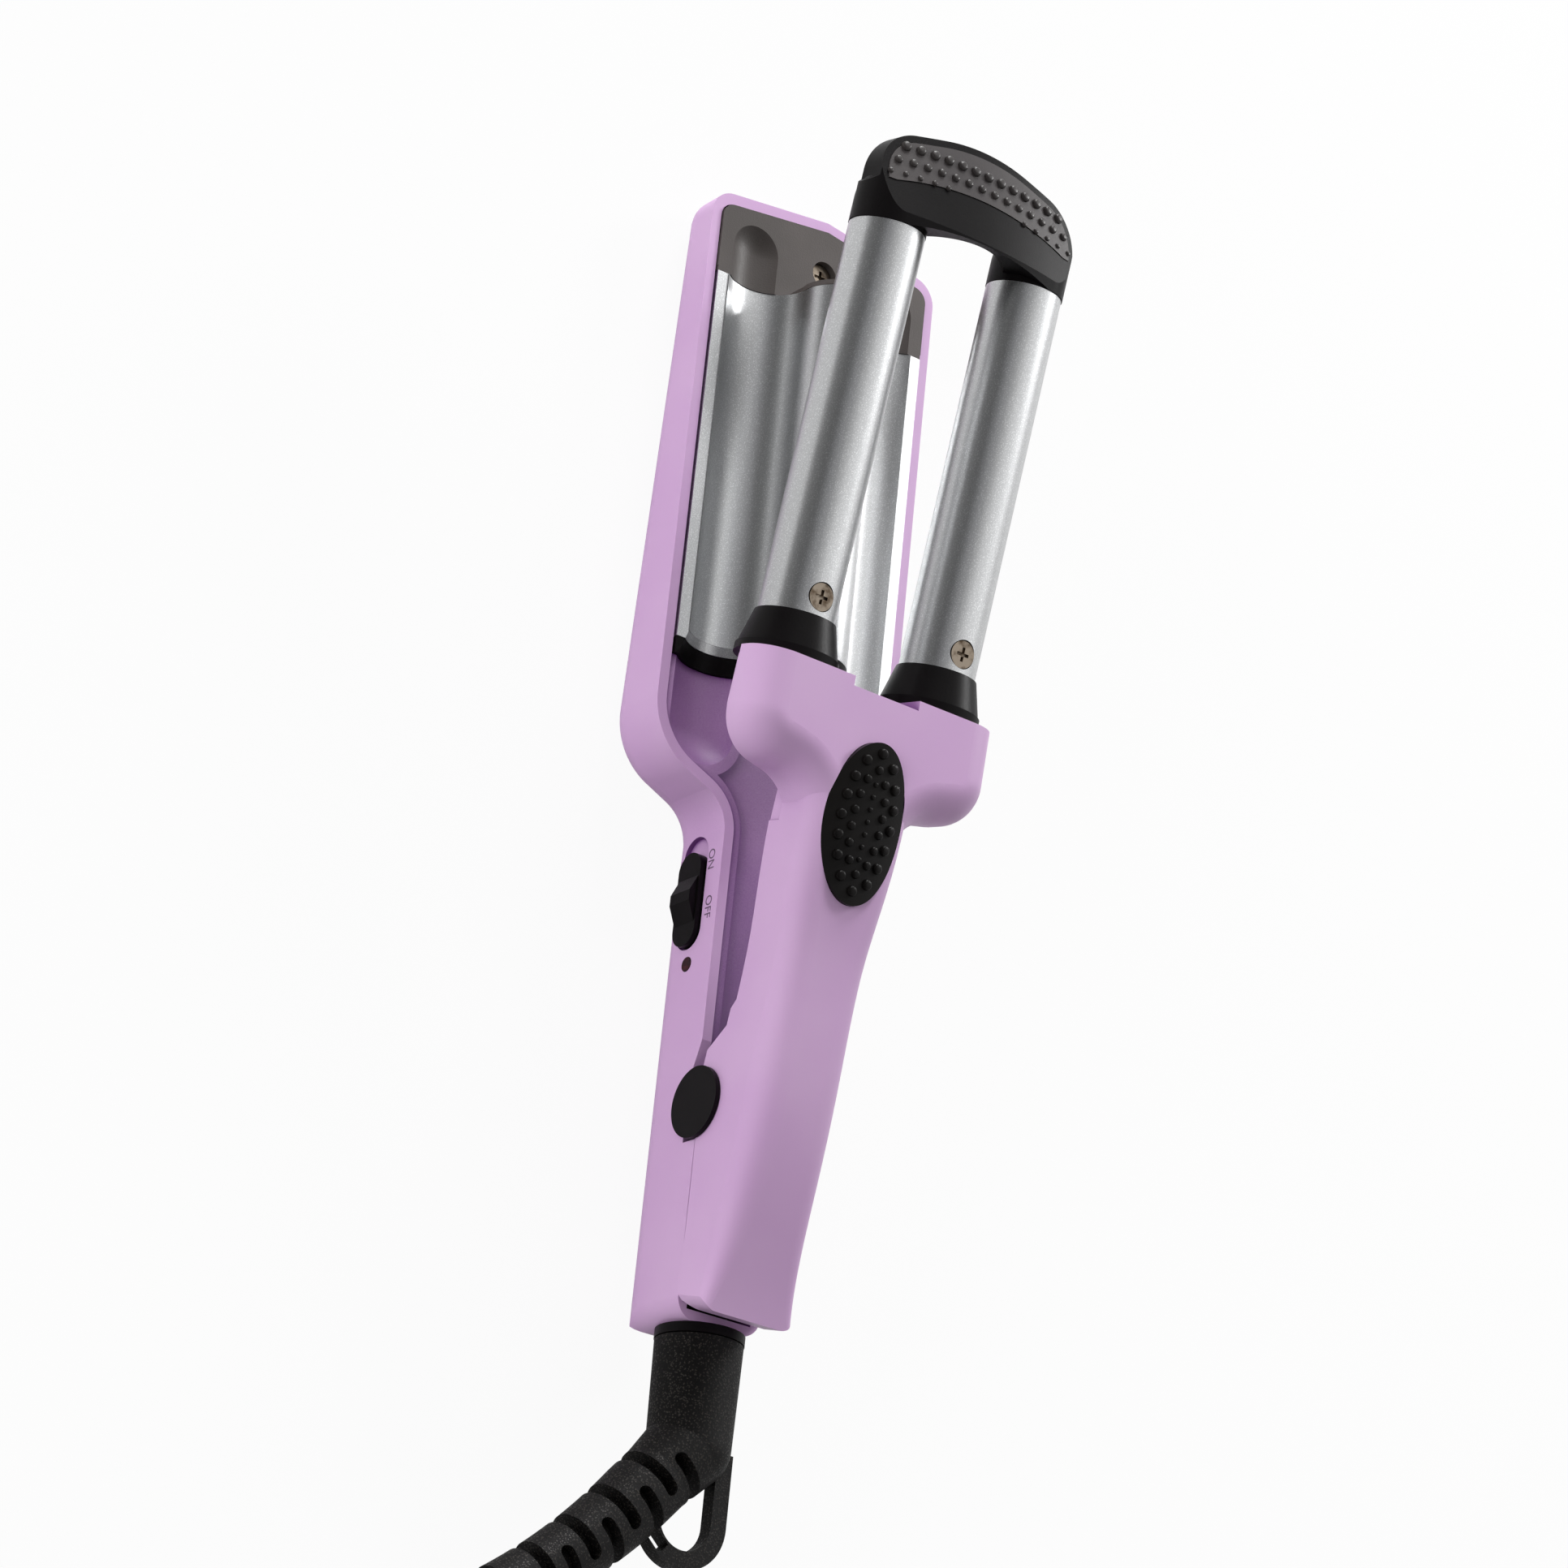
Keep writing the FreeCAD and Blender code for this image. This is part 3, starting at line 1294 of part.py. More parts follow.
def barrel(name, sign):
    """A thin round tube with a hole for its screw."""
    long = "barrel_end_x - barrel_start_x"
    at = ("barrel_start_x", barrel_side(sign), "barrel_up")
    body = rod(name + "_tube", "x", at, "barrel_round", long)
    bore_at = ("barrel_start_x - 1",) + at[1:]
    bore = rod(name + "_bore", "x", bore_at, "barrel_round - barrel_wall", long + " + 2")
    hole = rod(name + "_hole", "z", ("barrel_screw_x",) + at[1:], "screw_head + 0.15", "barrel_round + 2")
    return cut(name + "_solid", body, bore, hole)


def barrel_heater(name, sign):
    """The heating bar inside a barrel: a round bar with two flats."""
    aside = barrel_side(sign)
    at = (HEATER_X, aside, "barrel_up")
    bar = rod(name + "_bar", "x", at, SPIGOT, "barrel_heater_long")
    x = (HEATER_X + " - 1", HEATER_X + " + barrel_heater_long + 1")
    z = ("barrel_up - barrel_heater_half", "barrel_up + barrel_heater_half")
    return common(name + "_solid", bar, block(name + "_flats", x, ("%s - 10" % aside, "%s + 10" % aside), z))


def barrel_screws():
    """The two screws that hold the barrels on their collars."""
    screws = []
    for side, sign in SIDES.items():
        seat = "barrel_up + barrel_screw_seat"
        name = "barrel_screw_" + side
        screws.append(screw(name, "barrel_screw_x", barrel_side(sign), seat, "barrel_screw_long"))
    return screws


def barrel_leads():
    """One wire to each heating bar, along the lever and through the collar."""
    aside = val("barrel_apart") / 2
    level = val("barrel_up")
    wires = []
    for side, sign in SIDES.items():
        points = [
            Vec(8, sign * 4.6, 9),
            Vec(26, sign * 4.8, 8.6),
            Vec(43, sign * 4.8, 8.9),
            Vec(57, sign * 5.6, 8.8),
            Vec(64.5, sign * (aside - 1.7), 8.4),
            Vec(71.5, sign * aside, level + 0.2),
            Vec(val(HEATER_X) - 15, sign * aside, level + 0.02),
            Vec(val(HEATER_X) - 0.2, sign * aside, level),
        ]
        wires.append(tube("barrel_lead_" + side, bent_path("barrel_lead_" + side, points), 0.7))
    return wires


BRIDGE_X = "barrel_end_x + bridge_gap"
RISE = "(bridge_top - barrel_up)"
CROWN = "(((barrel_apart / 2)^2 + %s^2 - bridge_side^2) / (2 * (%s - bridge_side)))" % (RISE, RISE)


def dipping_rod(name, top, radius, lift, dip):
    """A long rod that dips toward +X, whose topmost line lies a lift above a point."""
    solid = doc.addObject("Part::Cylinder", name)
    bind(solid, Radius="%s + (%s)" % (radius, lift), Height="130")
    solid.Placement = FreeCAD.Placement(Vec(), FreeCAD.Rotation(Vec(0, 1, 0), 90 + dip))
    along = "%s - 60 * cos(%f) - %s * sin(%f)" % (top[0], dip, radius, dip)
    up = "%s + 60 * sin(%f) - %s * cos(%f)" % (top[1], dip, radius, dip)
    return bind(solid, Placement__Base__x=along, Placement__Base__z=up)


def bridge_crown(name, lift):
    """The rods that crown the bridge's top: a level one, and one that dips to the tip."""
    drop = val("bridge_top - bridge_nose_top")
    dip = math.degrees(math.atan2(drop, val("bridge_tip_x + bridge_crown - bridge_slope_x")))
    top = ("bridge_slope_x", "bridge_top")
    level = dipping_rod(name + "_level", top, CROWN, lift, 0.0)
    return [level, dipping_rod(name + "_slope", top, CROWN, lift, dip)]


def bridge_form(name, inset, lift):
    """The bridge between the barrel tips: a crowned plan under a crowned top that dips to the tip."""
    body = doc.addObject("PartDesign::Body", name)
    doc.recompute()
    wide = "barrel_apart / 2 + bridge_side - (%s)" % inset
    slim = "%s - bridge_step" % wide
    corner = "bridge_tip_x - (%s)" % inset
    half = [(BRIDGE_X, wide), ("bridge_step_x", wide), ("bridge_step_x + bridge_step", slim), (corner, slim)]
    mirrored = [(across, "-(%s)" % up) for across, up in reversed(half)]
    plan = half + [("%s + bridge_crown" % corner, "0")] + mirrored
    pad(body, "XY_Plane", plan, "bridge_low", "bridge_top + (%s)" % lift)
    soften(body, "bridge_tip_round - (%s)" % inset, upright(corner, slim))
    soften(body, "bridge_crown_round", upright("%s + bridge_crown" % corner, "0"))
    side_round = "bridge_side + (%s)" % lift
    reach = "barrel_apart / 2 * (%s + (%s)) / (%s - bridge_side)" % (CROWN, lift, CROWN)
    level = ("barrel_up - (%s)" % side_round, "bridge_top + (%s)" % lift)
    sides = [block(name + "_mid", (BRIDGE_X, "240"), ("-(%s)" % reach, reach), level)]
    for side, sign in SIDES.items():
        at = (BRIDGE_X, barrel_side(sign), "barrel_up")
        sides.append(rod("%s_side_%s" % (name, side), "x", at, side_round, "40"))
    return common(name + "_form", body, join(name + "_sides", *sides), *bridge_crown(name, lift))


def grip_form(name, inset, low, high):
    """A layer on the bridge's slope, between two lifts, with the insert's D-shaped plan."""
    outer = bridge_form(name + "_outer", inset, high)
    inner = bridge_form(name + "_inner", inset + " - 2", low)
    bow = "bridge_bow - (grip_edge - (%s))" % inset
    edge = rod(name + "_edge", "z", ("grip_x - bridge_bow", "0", "-10"), bow, "50")
    reach_x = ("bridge_step_x + bridge_step - (grip_edge - (%s))" % inset, "240")
    reach = block(name + "_reach", reach_x, ("-40", "40"), ("-10", "40"))
    return cut(name, common(name + "_slab", cut(name + "_layer", outer, inner), reach), edge)


def end_bridge():
    """The black cap that joins the barrel tips over an arch, with a plug inside each."""
    under_web = doc.addObject("PartDesign::Body", "under_web")
    doc.recompute()
    room = [
        ("arch_x - 6", "web_low"),
        ("bridge_step_x", "web_low"),
        ("web_back_x", "bridge_low"),
        ("web_back_x", "-20"),
        ("arch_x - 6", "-20"),
    ]
    pad(under_web, "XZ_Plane", room, "-barrel_apart / 2", "barrel_apart / 2")
    arch = dipping_rod("bridge_arch", ("arch_x", "arch_top"), "arch_round", "0", val("arch_dip"))
    bow_x = "%s - sqrt(bridge_bow^2 - (barrel_apart / 2)^2)" % BRIDGE_X
    bow = rod("bridge_edge", "z", (bow_x, "0", "-10"), "bridge_bow", "50")
    parts = [cut("bridge_arched", bridge_form("bridge_body", "0", "0"), under_web, arch, bow)]
    for side, sign in SIDES.items():
        aside = barrel_side(sign)
        at = (BRIDGE_X, aside, "barrel_up")
        parts.append(rod("stub_" + side, "x", at, "stub_round", "stub_end_x - (%s)" % BRIDGE_X))
        parts.append(ball("stub_end_" + side, ("stub_end_x", aside, "barrel_up"), "stub_round"))
        plug_long = "barrel_end_x + 2 - (%s)" % PLUG_X
        parts.append(rod("stub_plug_" + side, "x", (PLUG_X, aside, "barrel_up"), SPIGOT, plug_long))
    whole = common("bridge_crowned", join("bridge_whole", *parts), *bridge_crown("bridge_crown", "0"))
    return cut("end_bridge_solid", whole, grip_form("grip_seat", "grip_edge - 0.05", "-grip_thick", "6"))


# Swivel, strain relief and loop, in the lower jaw's frame
def aim(solid, at, turn):
    """Lay a solid's own axis flat, turned from +X toward +Y, and move it to a point."""
    solid.Placement = FreeCAD.Placement(Vec(), FreeCAD.Rotation(Vec(0, 0, 1), turn) * AXES["x"])
    for letter, expression in zip("xyz", at):
        bind(solid, **{"Placement__Base__" + letter: expression})
    return solid


def boot_point(along):
    """A point on the boot's axis and its heading, in degrees from +X toward +Y."""
    turn = 180 - val("elbow_turn")
    straight = val("boot_straight")
    heading = math.radians(turn)
    start = spot("elbow_x", "0", "swivel_z")
    reach = min(along, straight)
    point = start + Vec(math.cos(heading), math.sin(heading), 0) * reach
    if along <= straight:
        return point, turn
    radius = val("boot_bend_round")
    bend = (along - straight) / radius
    centre = point + Vec(math.sin(heading), -math.cos(heading), 0) * radius
    point = centre - Vec(math.sin(heading - bend), -math.cos(heading - bend), 0) * radius
    return point, turn - math.degrees(bend)


def boot_long():
    """The boot's length along its axis."""
    return val("boot_straight + boot_bend_round * boot_bend_turn * pi / 180")


def boot_sections(first, last, count, start_round, end_round):
    """Circles square to the boot's axis from one place along it to another."""
    rings = []
    for step in range(count + 1):
        share = step / count
        point, turn = boot_point(first + (last - first) * share)
        heading = Vec(math.cos(math.radians(turn)), math.sin(math.radians(turn)), 0)
        ring = Part.makeCircle(start_round + (end_round - start_round) * share, point, heading)
        rings.append(Part.Wire(ring))
    return rings


def strain_relief():
    """The elbow, the slotted boot and the flat hanging loop, in one moulding."""
    straight, length = val("boot_straight"), boot_long()
    start = "handle_end_x - bush_flange - bush_gap"
    pipe_x = ("elbow_x", "0", "swivel_z")
    elbow_long = "%s - elbow_x" % start
    pipe = cone("relief_pipe", "x", pipe_x, "knee_round", "collar_round - 0.1", elbow_long)
    knee = ball("relief_knee", pipe_x, "knee_round")
    turn = 180 - val("elbow_turn")
    taper = doc.addObject("Part::Cone", "relief_taper")
    bind(taper, Radius1="knee_round", Radius2="boot_round", Height="boot_taper")
    aim(taper, pipe_x, turn)
    boot = doc.addObject("Part::Cylinder", "relief_boot")
    bind(boot, Radius="boot_round", Height="boot_straight")
    aim(boot, pipe_x, turn)
    bend = doc.addObject("Part::Feature", "relief_bend")
    rings = boot_sections(straight, length, 4, val("boot_round"), val("boot_end_round"))
    bend.Shape = Part.makeLoft(rings, True, False)
    ring_z = ("swivel_z - loop_thick / 2", "swivel_z + loop_thick / 2")
    ring = rod("loop_ring", "z", ("loop_x", "0", ring_z[0]), "loop_out", "loop_thick")
    long_strip = block("loop_strip", ("loop_x", "elbow_x"), ("-loop_out", "-loop_in"), ring_z)
    short_strip = block("loop_short", ("loop_x", "elbow_x - 6"), ("loop_in - 0.5", "loop_out"), ring_z)
    eye_x = ("loop_x", "elbow_x + 2")
    loop = cut(
        "loop_whole",
        join("loop_blank", ring, long_strip, short_strip),
        rod("loop_eye", "z", ("loop_x", "0", "swivel_z - 5"), "loop_in", "10"),
        block("loop_gap", eye_x, ("-loop_in", "loop_in - 0.5"), ("swivel_z - 5", "swivel_z + 5")),
    )
    whole = join("relief_blank", pipe, knee, taper, boot, bend, loop)
    slots = []
    count = int((length - val("slot_first") - 3) / val("slot_step")) + 1
    for number in range(count):
        along = val("slot_first") + number * val("slot_step")
        point, heading = boot_point(along)
        side = -1 if number % 2 else 1
        slots.append(slot_tool("boot_slot%d" % number, point, heading, side))
    core = doc.addObject("Part::Feature", "boot_core_rod")
    core.Shape = Part.Wire(bent_core(length)).makePipeShell([core_ring()], True, False)
    slotted = cut("boot_slots_open", join("boot_slots", *slots), core)
    stem_at = ("stem_back_x", "0", "swivel_z")
    stem = rod("relief_bore", "x", stem_at, "stem_round + 0.05", "20")
    return cut("strain_relief_solid", whole, slotted, stem)


def bent_core(length):
    """The boot's axis as a line and an arc."""
    straight = val("boot_straight")
    start, knee = boot_point(0)[0], boot_point(straight)[0]
    middle, end = boot_point((straight + length) / 2)[0], boot_point(length)[0]
    return [Part.LineSegment(start, knee).toShape(), Part.Arc(knee, middle, end).toShape()]


def core_ring():
    """The section of the solid core that the boot's slots leave."""
    point, turn = boot_point(0)
    heading = Vec(math.cos(math.radians(turn)), math.sin(math.radians(turn)), 0)
    return Part.Wire(Part.makeCircle(val("boot_core"), point, heading))


def slot_tool(name, point, heading, side):
    """A slot across one side of the boot, round at its inner end."""
    reach = val("boot_round") + 3
    wide = val("slot_wide")
    inner = -val("slot_lap")
    box = Part.makeBox(wide, reach - inner - wide / 2, 20, Vec(-wide / 2, inner + wide / 2, -10))
    end = Part.makeCylinder(wide / 2, 20, Vec(0, inner + wide / 2, -10))
    solid = box.fuse(end)
    tool = doc.addObject("Part::Feature", name)
    tool.Shape = solid
    turn = heading if side > 0 else heading + 180
    tool.Placement = FreeCAD.Placement(point, FreeCAD.Rotation(Vec(0, 0, 1), turn))
    return tool


def swivel_stem():
    """The hollow stem that turns in the bush, with its retaining flange."""
    at = ("stem_back_x + 0.05", "0", "swivel_z")
    stem = rod("stem_rod", "x", at, "stem_round", "stem_front_x - (%s)" % at[0])
    flange_at = ("handle_end_x - bush_flange + bush_long + 0.3", "0", "swivel_z")
    flange = rod("stem_flange_disc", "x", flange_at, "stem_flange", "stem_front_x - (%s)" % flange_at[0])
    bore = rod("stem_bore_rod", "x", ("stem_back_x - 1", "0", "swivel_z"), "stem_bore", "30")
    return cut("stem_solid", join("stem_blank", stem, flange), bore)


# Cord, in the frame of the surface that the part lies on
TILT = math.degrees(math.atan2(val("handle_deep - toe_deep"), val("toe_x - knuckle_x")))
REST = FreeCAD.Placement(Vec(), FreeCAD.Rotation(Vec(0, 1, 0), TILT))
REST = REST * FreeCAD.Placement(-spot("rest_x", "0", under("rest_x")), FreeCAD.Rotation())
OPENED = FreeCAD.Placement(spot("0", "0", "pivot_up"), FreeCAD.Rotation(Vec(0, 1, 0), -val("open_angle")))
OPENED = REST * OPENED


def cord_start():
    """Where the cord leaves the boot, and its heading there."""
    point, turn = boot_point(boot_long())
    heading = Vec(math.cos(math.radians(turn)), math.sin(math.radians(turn)), 0)
    return REST.multVec(point), REST.Rotation.multVec(heading)


# Points that the cord runs through after its exit, down to the surface and up to its coil
CORD_ROUTE = [
    Vec(-217.5, 67.2, 15.4),
    Vec(-230.5, 73.6, 9.6),
    Vec(-243.0, 75.0, 5.0),
    Vec(-254.0, 75.0, val("coil_lift + cord_round")),
]
COIL_START = Vec(-268.0, 75.0, val("coil_lift + cord_round"))


def coil_station(turns):
    """A point of the coil after a number of turns, from its outside on the surface."""
    middle, pitch = val("coil_middle"), val("coil_pitch")
    layer_turns = val("coil_turns")
    widest = middle + layer_turns * pitch / 2
    layer = int(turns // layer_turns)
    inside = turns - layer * layer_turns
    drawn = inside if layer % 2 == 0 else layer_turns - inside
    reach = widest - pitch * drawn
    climbed = layer
    for change in (layer, layer + 1):
        near_turn = turns - change * layer_turns
        if change and abs(near_turn) < 0.25:
            climbed = change - 0.5 + math.sin(near_turn * 2 * math.pi) / 2
    angle = math.pi / 2 + turns * 2 * math.pi
    centre = COIL_START - Vec(0, widest, 0)
    across = Vec(math.cos(angle), math.sin(angle), 0) * reach
    return centre + across + Vec(0, 0, pitch * climbed)


COIL_LAYERS = 4


def coil_stations():
    """The coil's points and directions, a quarter turn apart, and its end over the top."""
    count = int(val("coil_turns")) * COIL_LAYERS * 4 + 1
    stations = []
    for step in range(count + 1):
        turns = step / 4
        ahead = coil_station(turns + 0.002) - coil_station(max(turns - 0.002, 0))
        if step == 0:
            ahead = Vec(-1, 0, 0)
        stations.append((coil_station(turns), ahead.normalize()))
    start, heading = stations[-1]
    level = plug_level()
    turn = math.atan2(heading.y, heading.x)
    bend, steps, radius = math.radians(78), 3, 25.0
    centre = start + Vec(-math.sin(turn), math.cos(turn), 0) * radius
    for step in range(1, steps + 1):
        angle = turn + bend * step / steps
        rise = (level - start.z) * (3 * (step / steps) ** 2 - 2 * (step / steps) ** 3)
        point = centre + Vec(math.sin(angle), -math.cos(angle), 0) * radius + Vec(0, 0, rise)
        slope = (level - start.z) * 6 * (step / steps) * (1 - step / steps) / (bend * radius)
        ahead = Vec(math.cos(angle), math.sin(angle), slope)
        stations.append((point, ahead.normalize()))
    return stations


def plug_level():
    """The height of the plug's middle, where it lies on the coil."""
    top = COIL_START.z + val("coil_pitch") * (COIL_LAYERS - 1) + val("cord_round")
    return top + val("tie_gap + plug_thick / 2")


def least_gap(name, edges, radius):
    """Print the least gap of a tube to itself, from points along its path."""
    points, travelled = [], 0.0
    for edge in edges:
        count = max(2, int(edge.Length / 2.5))
        for number in range(count):
            share = edge.FirstParameter + (edge.LastParameter - edge.FirstParameter) * number / count
            points.append((edge.valueAt(share), travelled + edge.Length * number / count))
        travelled += edge.Length
    least = 1e9
    for number, (point, along) in enumerate(points):
        for other, later in points[number + 1:]:
            if later - along > 12 * radius:
                least = min(least, point.distanceToPoint(other))
    print("%s: least gap to itself %.2f mm" % (name, least - 2 * radius))


def cord_coil():
    """The wound part of the cord: one tube with straight ends."""
    stations = coil_stations()
    radius = val("cord_round")
    straight = 2 * radius
    edges = [Part.LineSegment(COIL_START + Vec(straight, 0, 0), COIL_START).toShape()]
    edges += wound_path(stations)
    end, heading = stations[-1]
    edges.append(Part.LineSegment(end, end + heading * straight).toShape())
    least_gap("cord_coil", edges, radius)
    return tube("cord_coil", edges, radius)


def cord():
    """The free stretch of the cord, from the boot to the coil."""
    start, heading = cord_start()
    first = start + heading * val("cord_exit_run")
    points = [start, first] + CORD_ROUTE + [COIL_START + Vec(2 * val("cord_round"), 0, 0)]
    return tube("cord", bent_path("cord", points), val("cord_round"))


def cord_tie():
    """The band round the coil's turns."""
    widest = val("coil_middle + coil_turns * coil_pitch / 2 + cord_round + tie_gap")
    slimmest = val("coil_middle - coil_turns * coil_pitch / 2 - cord_round - tie_gap")
    thick = val("tie_thick")
    floor = COIL_START.z - val("cord_round + tie_gap")
    ceiling = COIL_START.z + val("coil_pitch") * (COIL_LAYERS - 1) + val("cord_round + tie_gap")
    wide = val("tie_wide")
    outer = Part.makeBox(widest - slimmest + 2 * thick, wide, ceiling - floor + 2 * thick)
    outer.translate(Vec(slimmest - thick, -wide / 2, floor - thick))
    inner = Part.makeBox(widest - slimmest, wide + 2, ceiling - floor)
    inner.translate(Vec(slimmest, -wide / 2 - 1, floor))
    band = doc.addObject("Part::Feature", "tie_band")
    band.Shape = outer.cut(inner)
    return band


def plug_body():
    """A flat plug on its side, with a tapered relief, from the cord's end along +X."""
    body = doc.addObject("PartDesign::Body", "plug_block")
    doc.recompute()
    x = ("plug_relief_long", "plug_relief_long + plug_body_long")
    plan = [(x[0], "-plug_half + 3"), (x[0], "plug_half - 3"), ("plug_relief_long + 6", "plug_half")]
    plan += [(x[1], "plug_half"), (x[1], "-plug_half"), ("plug_relief_long + 6", "-plug_half")]
    pad(body, "XY_Plane", plan, "-plug_thick / 2", "plug_thick / 2")

    def level(edge):
        ends = [vertex.Point for vertex in edge.Vertexes]
        flat = len(ends) == 2 and near(ends[0].z, ends[1].z)
        return flat and min(end.x for end in ends) < val(x[1]) - 0.1

    soften(body, "2.4", level)
    relief = cone("plug_relief", "x", ("0", "0", "0"), "cord_round + 0.9", "5.4", "plug_relief_long + 1")
    return join("plug_solid", body, relief)


def plug_pins():
    """The plug's two flat blades."""
    start = "plug_relief_long + plug_body_long"
    blades = []
    for side, sign in SIDES.items():
        middle = "%d * blade_apart / 2" % sign
        y = ("%s - blade_thick / 2" % middle, "%s + blade_thick / 2" % middle)
        z = ("-blade_wide / 2", "blade_wide / 2")
        blades.append(block("blade_" + side, (start, start + " + blade_long"), y, z))
    return blades


# Sub-parts, each in its place
def node(name, at, *solids):
    """Give a finished sub-part its name and its place."""
    piece = group(name + "_node", *solids)
    piece.Label = name
    piece.Placement = at
    nodes.append(piece)


nodes = []
WORLD = FreeCAD.Placement()

node("lower_shell", REST, lower_shell())
node("inner_cover", REST, inner_cover())
node("wave_plate", REST, wave_plate())
node("plate_base_trim", REST, plate_base_trim())
node("tip_cap", REST, tip_cap())
tip_seat = "cap_top - screw_sink"
tip_long = "%s - cap_low + screw_bite - 0.4" % tip_seat
node("tip_cap_screw", REST, screw("tip_screw", "tip_screw_x", "0", tip_seat, tip_long))
node("plate_heater", REST, plate_heater())
node("heater_support", REST, heater_support())
node("thermal_fuse", REST, thermal_fuse())
node("circuit_board", REST, circuit_board())
node("indicator_led", REST, indicator_led())
node("indicator_lens", REST, indicator_lens())
node("switch_housing", REST, switch_housing())
node("switch_knob", REST, switch_knob())
node("pivot_pin", REST, pivot_pin())
node("hinge_cap_left", REST, hinge_cap("cap_left", 1))
node("hinge_cap_right", REST, hinge_cap("cap_right", -1))
node("opening_spring", REST, opening_spring())
node("swivel_bush", REST, swivel_bush())
node("shell_screws", REST, *shell_screws())
node("supply_leads", REST, *supply_leads())
node("plate_leads", REST, *plate_leads())
node("lever_shell", OPENED, lever_shell())
node("lever_cover", OPENED, lever_cover())
node("lever_screws", OPENED, *lever_screws())
node("thumb_pad", OPENED, thumb_pad())
for side, sign in SIDES.items():
    node("collar_" + side, OPENED, collar("collar_" + side, sign))
    node("barrel_" + side, OPENED, barrel("barrel_" + side, sign))
    node("barrel_heater_" + side, OPENED, barrel_heater("heater_" + side, sign))
node("barrel_screws", OPENED, *barrel_screws())
node("barrel_leads", OPENED, *barrel_leads())
node("end_bridge", OPENED, end_bridge())
node("bridge_grip", OPENED, grip_form("grip", "grip_edge", "-grip_thick + 0.05", "grip_proud"))
node("swivel_stem", REST, swivel_stem())
node("strain_relief", REST, strain_relief())
node("cord", WORLD, cord())
node("cord_coil", WORLD, cord_coil())
tie_turn = FreeCAD.Rotation(Vec(0, 0, 1), -18)
coil_centre = COIL_START - Vec(0, val("coil_middle + coil_turns * coil_pitch / 2"), COIL_START.z)
node("cord_tie", FreeCAD.Placement(coil_centre, tie_turn), cord_tie())
plug_end, plug_way = coil_stations()[-1]
plug_turn = FreeCAD.Rotation(Vec(1, 0, 0), plug_way)
plug_at = FreeCAD.Placement(plug_end + plug_way * val("2 * cord_round"), plug_turn)
node("plug_body", plug_at, plug_body())
node("plug_pins", plug_at, *plug_pins())

# Write the finished sub-parts
doc.recompute()
for thing in doc.Objects:
    if {"Invalid", "Error"} & set(thing.State):
        raise RuntimeError("%s failed" % thing.Name)
for piece in nodes:
    if piece.Shape.isNull() or not piece.Shape.isValid() or not piece.Shape.Solids:
        raise RuntimeError("%s has no sound shape" % piece.Label)
os.makedirs("parts", exist_ok=True)
for piece in nodes:
    piece.Shape.exportStep("parts/%s.step" % piece.Label)
    print("%s: %d solid(s)" % (piece.Label, len(piece.Shape.Solids)))
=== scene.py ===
"""The looks of a deep-wave hair crimper: its mains lead, raised dots, words, finishes and studio."""

from __future__ import annotations

import logging
import math
from dataclasses import dataclass, field, replace
from enum import Enum

import bmesh
import bpy
from mathutils import Matrix, Vector


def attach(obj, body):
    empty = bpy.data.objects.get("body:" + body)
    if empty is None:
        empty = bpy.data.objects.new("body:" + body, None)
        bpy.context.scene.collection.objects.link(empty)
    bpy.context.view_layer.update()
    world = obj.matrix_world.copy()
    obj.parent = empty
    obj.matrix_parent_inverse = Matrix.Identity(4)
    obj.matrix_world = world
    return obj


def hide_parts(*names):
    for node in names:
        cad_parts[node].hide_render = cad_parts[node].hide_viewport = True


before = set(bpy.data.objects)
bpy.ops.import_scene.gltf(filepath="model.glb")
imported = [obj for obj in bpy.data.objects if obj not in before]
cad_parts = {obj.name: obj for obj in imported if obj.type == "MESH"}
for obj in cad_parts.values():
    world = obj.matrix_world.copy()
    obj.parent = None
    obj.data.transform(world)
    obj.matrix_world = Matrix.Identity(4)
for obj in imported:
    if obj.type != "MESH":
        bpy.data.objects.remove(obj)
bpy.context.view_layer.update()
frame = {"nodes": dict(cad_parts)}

MM = 0.001
LOG = logging.getLogger("crimper")

# The lower jaw rests on its flat back, so its long axis is tipped a little
LOWER_TIPPED = math.radians(2.7927)
LOWER_ORIGIN = Vector((-105.0, 0.0, 13.4732)) * MM
LOWER = Matrix.Rotation(LOWER_TIPPED, 4, "Y") @ Matrix.Translation(LOWER_ORIGIN)

# The upper jaw has its own frame about the hinge pin, and stands open
UPPER_OPEN = math.radians(-9.857)
HINGE = Vector((-104.170, 0.0, 19.572)) * MM
UPPER = Matrix.Translation(HINGE) @ Matrix.Rotation(UPPER_OPEN, 4, "Y")

# The sockets of a Mix node that are in use when it mixes colours
MIX_FIRST, MIX_SECOND, MIX_RESULT = 6, 7, 2

WHITE = (1.0, 1.0, 1.0, 1.0)

# Soft noise seldom leaves this band, so a cloud runs from one tone to the other across it
NOISE_BAND = (0.3, 0.7)

Colour = tuple[float, float, float]


def paint(red: int, green: int, blue: int) -> Colour:
    """Turn a colour as seen on a screen into the renderer's linear one.

    Args:
        red: Red from 0 to 255.
        green: Green from 0 to 255.
        blue: Blue from 0 to 255.

    Returns:
        The three linear parts.
    """

    def linear(part: int) -> float:
        """Linear value of one screen part."""
        share = part / 255
        return share / 12.92 if share <= 0.04045 else ((share + 0.055) / 1.055) ** 2.4

    return linear(red), linear(green), linear(blue)


class Body(Enum):
    """The rigid groups of the crimper that a new piece rides on."""

    LOWER_JAW = "lower_jaw"
    UPPER_JAW = "upper_jaw"
    SWIVEL = "swivel"


